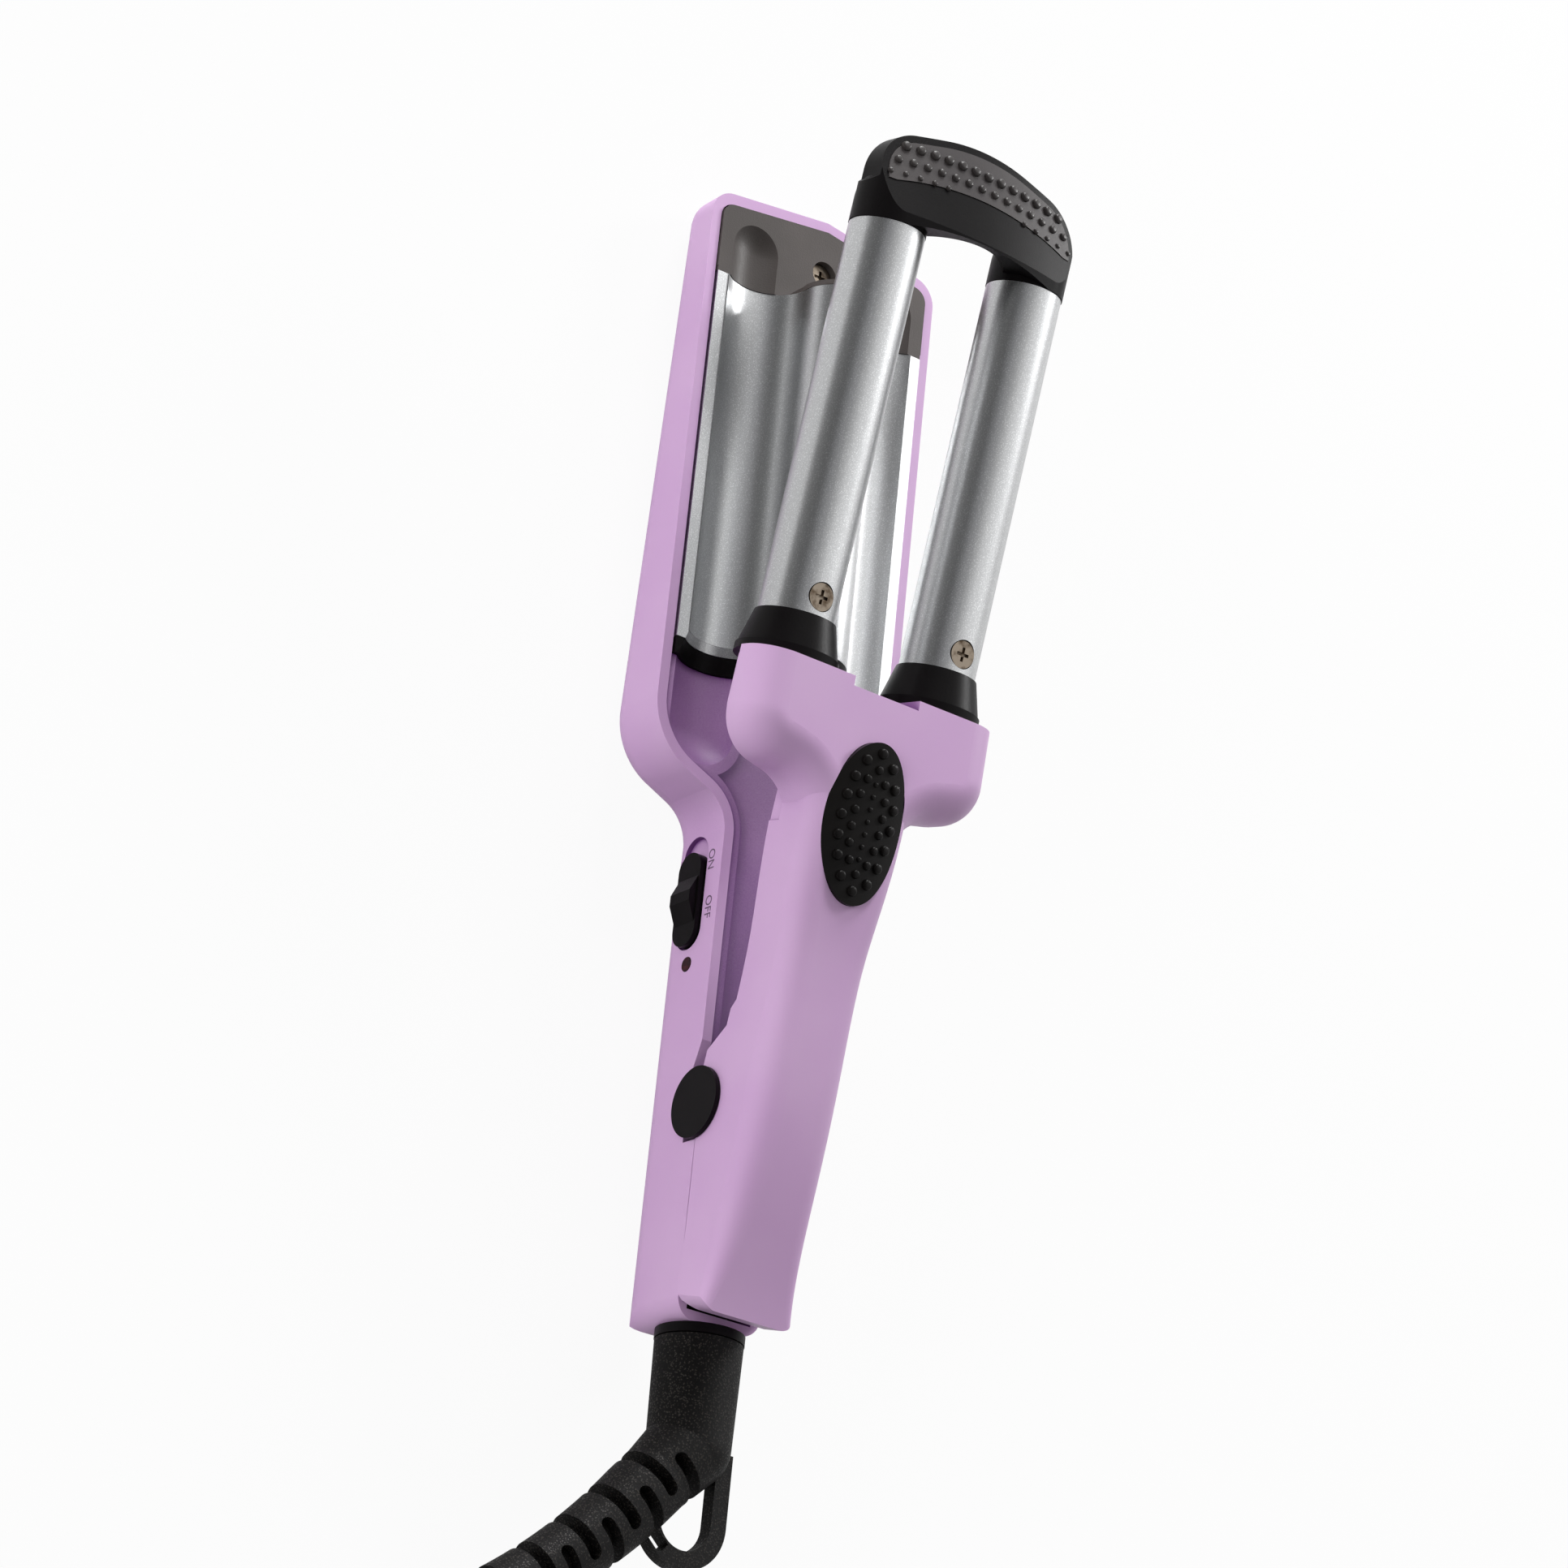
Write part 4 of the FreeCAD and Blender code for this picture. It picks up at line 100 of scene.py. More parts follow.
class Wire:
    """A socket of a shader tree that takes part in Python expressions."""

    def __init__(self, tree: ShaderTree, socket: bpy.types.NodeSocket) -> None:
        """Keep the tree and the socket."""
        self.tree = tree
        self.socket = socket

    def __add__(self, other: Wire | float) -> Wire:
        """Sum."""
        return self.tree.maths("ADD", self, other)

    def __radd__(self, other: float) -> Wire:
        """Sum, reflected."""
        return self.tree.maths("ADD", other, self)

    def __sub__(self, other: Wire | float) -> Wire:
        """Difference."""
        return self.tree.maths("SUBTRACT", self, other)

    def __rsub__(self, other: float) -> Wire:
        """Difference, reflected."""
        return self.tree.maths("SUBTRACT", other, self)

    def __mul__(self, other: Wire | float) -> Wire:
        """Product."""
        return self.tree.maths("MULTIPLY", self, other)

    def __rmul__(self, other: float) -> Wire:
        """Product, reflected."""
        return self.tree.maths("MULTIPLY", other, self)

    def step(self, low: float, high: float) -> Wire:
        """Rise smoothly from 0 at low to 1 at high.

        Args:
            low: The value where the rise starts.
            high: The value where it ends.

        Returns:
            The eased share.
        """
        settings = {"interpolation_type": "SMOOTHSTEP"}
        values = {"Value": self, "From Min": low, "From Max": high}
        return self.tree.node("MapRange", settings, values)


class ShaderTree:
    """The node tree of a material or of the world."""

    def __init__(self, nodes: bpy.types.NodeTree) -> None:
        """Start from an empty tree."""
        self.nodes = nodes
        self.nodes.nodes.clear()

    def node(
        self,
        kind: str,
        settings: dict[str, object] | None = None,
        values: dict[str | int, object] | None = None,
        output: str | int = 0,
    ) -> Wire:
        """Add a node.

        Args:
            kind: The node's type, without its ShaderNode prefix.
            settings: What is set on the node itself; stops are a ramp's places and colours.
            values: A value or a Wire for each named or numbered input.
            output: The output that is returned.

        Returns:
            The chosen output.
        """
        made = self.nodes.nodes.new("ShaderNode" + kind)
        for name, setting in (settings or {}).items():
            if name == "stops":
                self.fill_ramp(made.color_ramp, setting)
            else:
                setattr(made, name, setting)
        for name, value in (values or {}).items():
            if isinstance(value, Wire):
                self.nodes.links.new(value.socket, made.inputs[name])
            else:
                made.inputs[name].default_value = value
        found = made.outputs[output] if len(made.outputs) else None
        return Wire(self, found)

    @staticmethod
    def fill_ramp(ramp: bpy.types.ColorRamp, stops: list[tuple[float, Colour]]) -> None:
        """Give a ramp its places and colours, from low to high.

        Args:
            ramp: The ramp.
            stops: A place and a colour for each stop.
        """
        ramp.elements.remove(ramp.elements[1])
        ramp.elements[0].position = stops[0][0]
        ramp.elements[0].color = (*stops[0][1], 1.0)
        for place, colour in stops[1:]:
            ramp.elements.new(place).color = (*colour, 1.0)

    def maths(self, operation: str, first: Wire | float, second: Wire | float) -> Wire:
        """Join two numbers with a Math node."""
        return self.node("Math", {"operation": operation}, {0: first, 1: second})

    def blend(self, share: Wire | float, first: Wire | Colour, second: Wire | Colour) -> Wire:
        """Mix two colours.

        Args:
            share: How much of the second.
            first: The colour at 0.
            second: The colour at 1.

        Returns:
            The mixed colour.
        """
        both = [c if isinstance(c, Wire) else (*c, 1.0) for c in (first, second)]
        values = {0: share, MIX_FIRST: both[0], MIX_SECOND: both[1]}
        return self.node("Mix", {"data_type": "RGBA"}, values, MIX_RESULT)

    def place(self) -> Wire:
        """The point on the object, in metres."""
        return self.node("TexCoord", output="Object")

    def cloud(
        self, grain_mm: float, detail: float = 2.0, stretch: tuple[float, float, float] | None = None
    ) -> Wire:
        """A soft noise of a given grain.

        Args:
            grain_mm: The size of a grain.
            detail: How much finer noise is added.
            stretch: How much the grain is squeezed along each axis.

        Returns:
            A number around 0.5.
        """
        where = self.place()
        if stretch:
            where = self.node("VectorMath", {"operation": "MULTIPLY"}, {0: where, 1: stretch})
        values = {"Vector": where, "Scale": 1 / (grain_mm * MM), "Detail": detail}
        return self.node("TexNoise", values=values)

    def hollow(self, reach_mm: float, alone: bool) -> Wire:
        """How much of the space over a spot has walls in it; this sets where shade is painted.

        Args:
            reach_mm: How near walls count.
            alone: Whether only the piece's own walls count.

        Returns:
            The share, from 0 in the open to 1.
        """
        settings = {"samples": 8, "only_local": alone}
        return 1.0 - self.node("AmbientOcclusion", settings, {"Distance": reach_mm * MM}, "AO")

    def relief(self, height: Wire, depth_mm: float, strength: float = 1.0) -> Wire:
        """Turn a height into a shading normal.

        Args:
            height: The height, from 0 to 1.
            depth_mm: What a height of 1 stands for.
            strength: How much of the slope is kept.

        Returns:
            The normal.
        """
        values = {"Height": height, "Distance": depth_mm * MM, "Strength": strength}
        return self.node("Bump", values=values)


@dataclass(frozen=True)
class Finish:
    """What every finish shares: a name and a principled shader."""

    name: str

    def build(self) -> bpy.types.Material:
        """Make the material.

        Returns:
            The finished material.
        """
        material = bpy.data.materials.new(self.name)
        material.use_nodes = True
        tree = ShaderTree(material.node_tree)
        surface = tree.node("BsdfPrincipled", values=self.surface(tree))
        tree.node("OutputMaterial", values={"Surface": surface})
        return material

    def surface(self, tree: ShaderTree) -> dict[str, object]:
        """Work out what the shader's sockets get.

        Args:
            tree: The material's tree.

        Returns:
            A value or a link for each socket.
        """
        raise NotImplementedError


@dataclass(frozen=True)
class Moulding(Finish):
    """Moulded plastic or rubber: slow clouding in the colour, a fine eroded grain, and painted shade in the
    hollows where a shade colour is given.
    """

    colour: Colour
    cloud_colour: Colour
    rough: float = 0.42
    rough_spread: float = 0.08
    grain_mm: float = 0.35
    grain_deep_mm: float = 0.01
    cloud_mm: float = 14.0
    scatter: float = 0.0
    scatter_tint: Colour = (1.0, 0.6, 1.0)
    scatter_mm: float = 0.8
    gloss: float = 0.5
    # Painted shade: the colour that hollows darken to, how near walls count, and where the darkening starts
    # and is full
    painted_shade_colour: Colour | None = None
    painted_shade_reach_mm: float = 20.0
    painted_shade_own_walls: bool = True
    painted_shade_from: float = 0.03
    painted_shade_full: float = 0.55

    def surface(self, tree: ShaderTree) -> dict[str, object]:
        """Colour drifts between two tones, is darkened with painted shade in the hollows, and the grain
        breaks up the gloss.

        Args:
            tree: The material's tree.

        Returns:
            A value or a link for each socket.
        """
        drift = tree.cloud(self.cloud_mm).step(*NOISE_BAND)
        grain = tree.cloud(self.grain_mm, detail=1.0)
        colour = tree.blend(drift, self.colour, self.cloud_colour)
        # Painted shade: where walls close in, the colour darkens towards the shade colour
        if self.painted_shade_colour:
            walls = tree.hollow(self.painted_shade_reach_mm, self.painted_shade_own_walls)
            shade = walls.step(self.painted_shade_from, self.painted_shade_full)
            colour = tree.blend(shade, colour, self.painted_shade_colour)
        return {
            "Base Color": colour,
            "Roughness": self.rough + (grain - 0.5) * self.rough_spread * 2,
            "Normal": tree.relief(grain, self.grain_deep_mm),
            "Specular IOR Level": self.gloss,
            "Subsurface Weight": self.scatter,
            "Subsurface Radius": self.scatter_tint,
            "Subsurface Scale": self.scatter_mm * MM,
        }


@dataclass(frozen=True)
class SparkTexture(Finish):
    """Black plastic from a spark-eroded mould; its tiny peaks are shinier and lightened with a painted
    glint.
    """

    colour: Colour = paint(13, 12, 12)
    # Painted glint: the grey that the peaks are lightened towards
    painted_glint_colour: Colour = paint(66, 62, 58)
    grain_mm: float = 0.42
    finer: float = 0.7
    each_share: float = 0.6
    peak_from: float = 0.62
    peak_full: float = 0.85
    painted_glint_share: float = 0.55
    peak_polish: float = 0.28
    rough: float = 0.62
    deep_mm: float = 0.05
    slope_kept: float = 0.8
    gloss: float = 0.16

    def surface(self, tree: ShaderTree) -> dict[str, object]:
        """Peaks are shinier than the valleys between them, and paler with painted glint.

        Args:
            tree: The material's tree.

        Returns:
            A value or a link for each socket.
        """
        values = {"Vector": tree.place(), "Scale": 1 / (self.grain_mm * MM)}
        cell = tree.node("TexVoronoi", values=values)
        grit = tree.cloud(self.grain_mm * self.finer)
        height = (1 - cell) * self.each_share + grit * self.each_share
        peak = height.step(self.peak_from, self.peak_full)
        return {
            "Base Color": tree.blend(peak * self.painted_glint_share, self.colour, self.painted_glint_colour),
            "Roughness": self.rough - peak * self.peak_polish,
            "Normal": tree.relief(height, self.deep_mm, self.slope_kept),
            "Specular IOR Level": self.gloss,
        }


@dataclass(frozen=True)
class SatinAluminium(Finish):
    """Aluminium with a satin, faintly sparkling coat."""

    colour: Colour = paint(198, 199, 200)
    fleck_colour: Colour = paint(236, 237, 238)
    rough: float = 0.34
    fleck_mm: float = 0.2
    fleck_from: float = 0.5
    fleck_full: float = 0.72
    fleck_share: float = 0.8
    fleck_rough: float = 0.04
    fleck_deep_mm: float = 0.0015
    drawn_mm: float = 0.5
    drawn_out: tuple[float, float, float] = (0.02, 1.0, 1.0)
    drawn_rough: float = 0.04

    def surface(self, tree: ShaderTree) -> dict[str, object]:
        """Bright flecks and very faint lengthwise drawing marks.

        Args:
            tree: The material's tree.

        Returns:
            A value or a link for each socket.
        """
        fleck = tree.cloud(self.fleck_mm, detail=1.0).step(self.fleck_from, self.fleck_full)
        drawn = tree.cloud(self.drawn_mm, stretch=self.drawn_out)
        return {
            "Base Color": tree.blend(fleck * self.fleck_share, self.colour, self.fleck_colour),
            "Metallic": 1.0,
            "Roughness": self.rough + (drawn - 0.5) * self.drawn_rough + fleck * self.fleck_rough,
            "Normal": tree.relief(fleck, self.fleck_deep_mm),
        }


@dataclass(frozen=True)
class BareMetal(Finish):
    """Plated or drawn metal of small parts, with turning marks and darker stains."""

    colour: Colour
    stain_colour: Colour
    rough: float = 0.3
    stain_mm: float = 1.6
    stain_from: float = 0.42
    stain_full: float = 0.75
    stain_rough: float = 0.15
    mark_mm: float = 0.15
    mark_rough: float = 0.1
    mark_deep_mm: float = 0.004

    def surface(self, tree: ShaderTree) -> dict[str, object]:
        """Stains darken and dull the plating.

        Args:
            tree: The material's tree.

        Returns:
            A value or a link for each socket.
        """
        stain = tree.cloud(self.stain_mm, detail=4.0).step(self.stain_from, self.stain_full)
        mark = tree.cloud(self.mark_mm)
        return {
            "Base Color": tree.blend(stain, self.colour, self.stain_colour),
            "Metallic": 1.0,
            "Roughness": self.rough + stain * self.stain_rough + (mark - 0.5) * self.mark_rough,
            "Normal": tree.relief(mark, self.mark_deep_mm),
        }


@dataclass(frozen=True)
class LampWindow(Finish):
    """Dark red see-through plastic over the lamp."""

    colour: Colour = paint(58, 6, 14)
    edge_colour: Colour = paint(24, 2, 6)
    cloud_mm: float = 1.1
    rough: float = 0.16
    rough_spread: float = 0.08
    gloss: float = 0.2

    def surface(self, tree: ShaderTree) -> dict[str, object]:
        """The red is darker where the moulding is thick.

        Args:
            tree: The material's tree.

        Returns:
            A value or a link for each socket.
        """
        depth = tree.cloud(self.cloud_mm, detail=1.0).step(*NOISE_BAND)
        return {
            "Base Color": tree.blend(depth, self.colour, self.edge_colour),
            "Roughness": self.rough + depth * self.rough_spread,
            "Specular IOR Level": self.gloss,
        }


@dataclass(frozen=True)
class BoardLacquer(Finish):
    """Green lacquer with copper tracks under it."""

    colour: Colour = paint(22, 92, 52)
    track_colour: Colour = paint(52, 138, 70)
    track_mm: float = 2.2
    track_from: float = 0.45
    track_full: float = 0.6
    track_rough: float = 0.1
    track_proud_mm: float = 0.03
    rough: float = 0.3

    def surface(self, tree: ShaderTree) -> dict[str, object]:
        """Tracks stand a little proud of the lacquer.

        Args:
            tree: The material's tree.

        Returns:
            A value or a link for each socket.
        """
        values = {"Vector": tree.place(), "Scale": 1 / (self.track_mm * MM), "Distortion": 0.0}
        bands = tree.node("TexWave", {"wave_type": "BANDS"}, values, 1)
        track = bands.step(self.track_from, self.track_full)
        return {
            "Base Color": tree.blend(track, self.colour, self.track_colour),
            "Roughness": self.rough + track * self.track_rough,
            "Normal": tree.relief(track, self.track_proud_mm),
        }


LILAC = Moulding(
    "lilac_plastic",
    paint(211, 174, 215),
    paint(207, 168, 212),
    rough_spread=0.05,
    grain_mm=0.28,
    grain_deep_mm=0.005,
    cloud_mm=22.0,
    scatter=0.08,
    gloss=0.4,
    # Painted shade: the deep purple that the lilac's hollows darken to
    painted_shade_colour=paint(112, 62, 128),
)
BLACK = Moulding(
    "black_plastic", paint(11, 9, 10), paint(16, 14, 15), rough=0.38, grain_mm=0.3, gloss=0.08
)
DARK_GREY = Moulding(
    "dark_grey_plastic",
    paint(74, 69, 67),
    paint(83, 77, 75),
    rough=0.46,
    rough_spread=0.14,
    grain_mm=0.3,
    grain_deep_mm=0.02,
    gloss=0.25,
)
GREY_RUBBER = Moulding(
    "grey_rubber",
    paint(62, 58, 59),
    paint(70, 66, 66),
    rough=0.44,
    rough_spread=0.1,
    grain_mm=0.3,
    grain_deep_mm=0.012,
    gloss=0.22,
)
BLACK_RUBBER = Moulding(
    "black_rubber",
    paint(12, 10, 10),
    paint(18, 16, 15),
    rough=0.38,
    rough_spread=0.1,
    grain_mm=0.28,
    gloss=0.1,
)
CORD_RUBBER = Moulding(
    "cord_rubber",
    paint(16, 15, 15),
    paint(23, 21, 21),
    rough=0.5,
    rough_spread=0.1,
    grain_mm=0.3,
    grain_deep_mm=0.02,
    gloss=0.25,
)

# Every slot's finish, then three that belong to single pieces
FINISHES = (
    LILAC,
    SatinAluminium("wave_aluminium"),
    SatinAluminium("barrel_aluminium", rough=0.31),
    BLACK,
    SparkTexture("textured_black"),
    DARK_GREY,
    GREY_RUBBER,
    BLACK_RUBBER,
    BareMetal("nickel_steel", paint(150, 138, 124), paint(84, 70, 56)),
    BareMetal("zinc_steel", paint(190, 194, 200), paint(140, 142, 148), rough=0.34),
    BareMetal("spring_steel", paint(158, 160, 164), paint(96, 92, 90)),
    LampWindow("red_lens"),
    LampWindow("led_epoxy", paint(190, 40, 36), paint(150, 20, 22)),
    BoardLacquer("board"),
    BareMetal("heater_metal", paint(176, 174, 170), paint(120, 112, 104), rough=0.42),
    Moulding("heat_proof_plastic", paint(214, 205, 186), paint(200, 190, 170), rough=0.6),
    Moulding("fuse_ceramic", paint(232, 228, 218), paint(220, 214, 202), rough=0.35),
    Moulding("switch_plastic", paint(44, 44, 46), paint(54, 54, 56), rough=0.4),
    Moulding("lead_silicone", paint(206, 200, 196), paint(190, 182, 178), rough=0.55),
    CORD_RUBBER,
    BareMetal("brass_pin", paint(214, 188, 122), paint(168, 134, 74), rough=0.28),
    Moulding("clear_tie", paint(30, 30, 31), paint(38, 38, 40), rough=0.38),
    # A copy of the lilac whose painted shade reaches further and counts other pieces' walls
    replace(LILAC, name="cover_lilac_painted_shade", painted_shade_reach_mm=24.0, painted_shade_own_walls=False),
    Moulding("word_ink", paint(106, 84, 110), paint(96, 75, 100), rough=0.6),
    Moulding("grip_button", paint(46, 42, 42), paint(54, 50, 49), rough=0.36, grain_mm=0.3, gloss=0.3),
)

# The cover lies in the shade of the lever, so its painted shade in the hollows reaches further and counts
# the lever's walls too
OWN_FINISH = {"inner_cover": "cover_lilac_painted_shade"}


@dataclass
class Wardrobe:
    """Every finish, built once and handed to the nodes and to the new pieces."""

    finishes: tuple[Finish, ...]
    materials: dict[str, bpy.types.Material] = field(init=False)

    def __post_init__(self) -> None:
        """Build the materials."""
        self.materials = {finish.name: finish.build() for finish in self.finishes}

    def dress_nodes(self, nodes: dict[str, bpy.types.Object]) -> None:
        """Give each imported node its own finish, or else its slot's.

        Args:
            nodes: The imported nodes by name.
        """
        for name, node in nodes.items():
            slot = node.data.materials[0].name.split(".")[0]
            finish = OWN_FINISH.get(name, slot)
            node.data.materials[0] = self.materials[finish]
            LOG.info("%s wears %s", name, finish)

    def hand_over(self, piece: bpy.types.Object, slot: str, body: Body, finish: str = "") -> None:
        """Dress a new piece and let it ride on its body.

        Args:
            piece: The new piece, in its place.
            slot: The material slot that it belongs to.
            body: What it moves with.
            finish: The finish that it wears, where that isn't the slot's own.
        """
        piece.data.materials.append(self.materials[finish or slot])
        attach(piece, body.value)
        LOG.info("%s rides on %s", piece.name, body.value)


@dataclass
class Camera:
    """The photographer's camera: a long lens, turned on its side."""

    stands_at: Vector = Vector((-321.717, 437.570, 656.552)) * MM
    aims_at: Vector = Vector((-40.293, -2.984, 15.455)) * MM
    roll_degrees: float = 71.2086
    lens_mm: float = 105.705
    film_mm: float = 36.0
    nearest: float = 0.05
    farthest: float = 20.0

    def build(self) -> None:
        """Set up the camera and make it the scene's own."""
        data = bpy.data.cameras.new("camera")
        data.lens = self.lens_mm
        data.sensor_width = self.film_mm
        data.clip_start, data.clip_end = self.nearest, self.farthest
        camera = bpy.data.objects.new("camera", data)
        bpy.context.scene.collection.objects.link(camera)
        back = (self.stands_at - self.aims_at).normalized()
        side = Vector((0, 0, 1)).cross(back).normalized()
        turned = Matrix((side, back.cross(side), back)).transposed().to_4x4()
        roll = Matrix.Rotation(math.radians(self.roll_degrees), 4, "Z")
        camera.matrix_world = Matrix.Translation(self.stands_at) @ turned @ roll
        bpy.context.scene.camera = camera


@dataclass
class MainsLead:
    """The mains lead: out of the boot, down to the table and into a wound, tied coil."""

    leaves_at: Vector = Vector((-198.563, 40.430, 19.170))
    heading: Vector = Vector((-0.49642, 0.86773, 0.0242))
    straight_run: float = 18.0
    thick: float = 5.5
    coil_start: Vector = Vector((-268.0, 75.0, 3.65))
    coil_widest: float = 37.6
    coil_pitch: float = 6.1
    turns_in_layer: int = 2
    layers: int = 4
    points_in_turn: int = 16
    bend_round: float = 25.0
    bend_degrees: float = 26.0
    bend_points: int = 3
    plug_level: float = 31.5
    length: float = 1.77
    quarter: float = 0.25
    steps_between_points: int = 6
    section_steps: int = 5

    @property
    def turns(self) -> float:
        """All the turns of the coil, with the quarter that leads to the last bend."""
        return self.turns_in_layer * self.layers + self.quarter

    def route(self) -> list[Vector]:
        """Lay out the free stretch, from the boot's end to the coil.

        Returns:
            The points, in millimetres.
        """
        return [
            self.leaves_at,
            self.leaves_at + self.heading * self.straight_run,
            Vector((-217.5, 67.2, 15.4)),
            Vector((-230.5, 73.6, 9.6)),
            Vector((-243.0, 75.0, 5.0)),
            Vector((-254.0, 75.0, 3.65)),
            Vector((-262.5, 75.0, 3.65)),
        ]

    def wound_point(self, turns: float) -> Vector:
        """A point of the coil, which winds inwards and outwards by turns, layer on layer.

        Args:
            turns: How many turns lie before the point.

        Returns:
            The point, in millimetres.
        """
        layer = int(turns // self.turns_in_layer)
        inside = turns - layer * self.turns_in_layer
        drawn = inside if layer % 2 == 0 else self.turns_in_layer - inside
        climbed = float(layer)
        for change in (layer, layer + 1):
            past = turns - change * self.turns_in_layer
            if change and abs(past) < self.quarter:
                climbed = change - 0.5 + math.sin(past * 2 * math.pi) / 2
        reach = (self.coil_widest - self.coil_pitch * drawn) / math.cos(math.pi / self.points_in_turn)
        angle = math.pi / 2 + turns * 2 * math.pi
        centre = self.coil_start - Vector((0, self.coil_widest, 0))
        level = self.coil_pitch * climbed
        return centre + Vector((math.cos(angle) * reach, math.sin(angle) * reach, level))

    def wound(self) -> list[Vector]:
        """The coil's own points, from its outside on the table to its last turn on top."""
        count = round(self.turns * self.points_in_turn)
        return [self.wound_point(self.turns * (step + 0.5) / count) for step in range(count)]

    def last_bend(self) -> list[Vector]:
        """Lay out the bend that rises over the coil and runs straight into the plug's relief.

        Returns:
            The points, in millimetres.
        """
        just_before = 0.002
        end = self.wound_point(self.turns)
        ahead = end - self.wound_point(self.turns - just_before)
        heading = math.atan2(ahead.y, ahead.x)
        middle = end + Vector((-math.sin(heading), math.cos(heading), 0)) * self.bend_round
        points = []
        for number in range(1, self.bend_points + 1):
            share = number / self.bend_points
            angle = heading + math.radians(self.bend_degrees) * number
            spot = middle + Vector((math.sin(angle), -math.cos(angle), 0)) * self.bend_round
            spot.z = end.z + (self.plug_level - end.z) * share * share * (3 - 2 * share)
            points.append(spot)
        points.append(points[-1] + Vector((math.cos(angle), math.sin(angle), 0)) * self.thick)
        return points

    def build(self, nodes: dict[str, bpy.types.Object]) -> bpy.types.Object:
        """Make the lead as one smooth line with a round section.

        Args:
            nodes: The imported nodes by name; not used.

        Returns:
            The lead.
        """
        points = self.route() + self.wound() + self.last_bend()
        curve = bpy.data.curves.new("mains_lead", "CURVE")
        curve.dimensions = "3D"
        curve.resolution_u = self.steps_between_points
        curve.bevel_depth = self.thick / 2 * MM
        curve.bevel_resolution = self.section_steps
        curve.use_fill_caps = True
        spline = curve.splines.new("NURBS")
        spline.points.add(len(points) - 1)
        for knot, point in zip(spline.points, points):
            knot.co = (*(point * MM), 1.0)
        spline.order_u = 3
        spline.use_endpoint_u = True
        lead = bpy.data.objects.new("mains_lead", curve)
        bpy.context.scene.collection.objects.link(lead)
        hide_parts("cord", "cord_coil")
        return lead


@dataclass
class RaisedDots:
    """A field of raised round buttons moulded on a rubber part of the upper jaw."""

    name: str
    carrier: str
    slot: str
    dots: list[tuple[float, float, float, float]]
    sides: int = 18
    looked_from: float = 40.0
    facing: float = 0.3
    profile: tuple[tuple[float, float], ...] = (
        (1.06, -0.25),
        (1.0, 0.1),
        (0.96, 0.45),
        (0.84, 0.78),
        (0.62, 0.95),
        (0.3, 1.0),
    )

    def build(self, nodes: dict[str, bpy.types.Object]) -> bpy.types.Object:
        """Set each button square on the carrier's own surface.

        Args:
            nodes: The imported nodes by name.

        Returns:
            The buttons, as one mesh.
        """
        mesh = bmesh.new()
        carrier = nodes[self.carrier]
        down = (UPPER.to_3x3() @ Vector((0, 0, -1))).normalized()
        for along, aside, across, high in self.dots:
            above = UPPER @ (Vector((along, aside, self.looked_from)) * MM)
            hit, spot, normal, _ = carrier.ray_cast(above, down)
            if hit and normal.dot(down) < -self.facing:
                self.add_button(mesh, spot, normal, across / 2 * MM, high * MM)
        data = bpy.data.meshes.new(self.name)
        mesh.to_mesh(data)
        mesh.free()
        data.polygons.foreach_set("use_smooth", [True] * len(data.polygons))
        piece = bpy.data.objects.new(self.name, data)
        bpy.context.scene.collection.objects.link(piece)
        return piece

    def add_button(
        self, mesh: bmesh.types.BMesh, spot: Vector, normal: Vector, radius: float, high: float
    ) -> None:
        """Turn one button's profile about the surface's normal.

        Args:
            mesh: The mesh that it joins.
            spot: The middle of its foot.
            normal: Away from the surface.
            radius: The radius of its foot.
            high: Its height.
        """
        turn = normal.to_track_quat("Z", "Y").to_matrix()
        rings = []
        for reach, level in self.profile:
            ring = []
            for step in range(self.sides):
                angle = 2 * math.pi * step / self.sides
                across, aside = math.cos(angle) * radius * reach, math.sin(angle) * radius * reach
                ring.append(mesh.verts.new(spot + turn @ Vector((across, aside, high * level))))
            rings.append(ring)
        for lower, upper in zip(rings, rings[1:]):
            for step in range(self.sides):
                after = (step + 1) % self.sides
                mesh.faces.new((lower[step], lower[after], upper[after], upper[step]))
        mesh.faces.new(rings[-1])


def oval_ring(middle: float, half_long: float, half_wide: float, count: int) -> list[tuple[float, float]]:
    """Points spread evenly along an oval, the first one at its front.

    Args:
        middle: Where its centre lies along the jaw.
        half_long: Its half length along the jaw.
        half_wide: Its half width.
        count: How many points.

    Returns:
        The points, along and aside.
    """
    steps = 720
    fine = [2 * math.pi * step / steps for step in range(steps + 1)]
    line = [Vector((half_long * math.cos(a), half_wide * math.sin(a))) for a in fine]
    walked = [0.0]
    for first, second in zip(line, line[1:]):
        walked.append(walked[-1] + (second - first).length)
    points = []
    for number in range(count):
        goal = walked[-1] * number / count
        nearest = min(range(steps + 1), key=lambda index: abs(walked[index] - goal))
        points.append((middle + line[nearest].x, line[nearest].y))
    return points


def thumb_dots() -> RaisedDots:
    """Lay out the thumb pad's dots: two oval rings and a middle row.

    Returns:
        The field of dots.
    """
    middle, apart, in_row = 52.9, 2.25, 7
    dots = [(x, y, 1.95, 0.72) for x, y in oval_ring(middle, 12.4, 5.3, 16)]
    dots += [(x, y, 1.6, 0.62) for x, y in oval_ring(middle, 9.4, 3.05, 14)]
    dots += [(middle + apart * (step - in_row // 2), 0.0, 0.95, 0.38) for step in range(in_row)]
    return RaisedDots("thumb_dots", "thumb_pad", "black_rubber", dots)


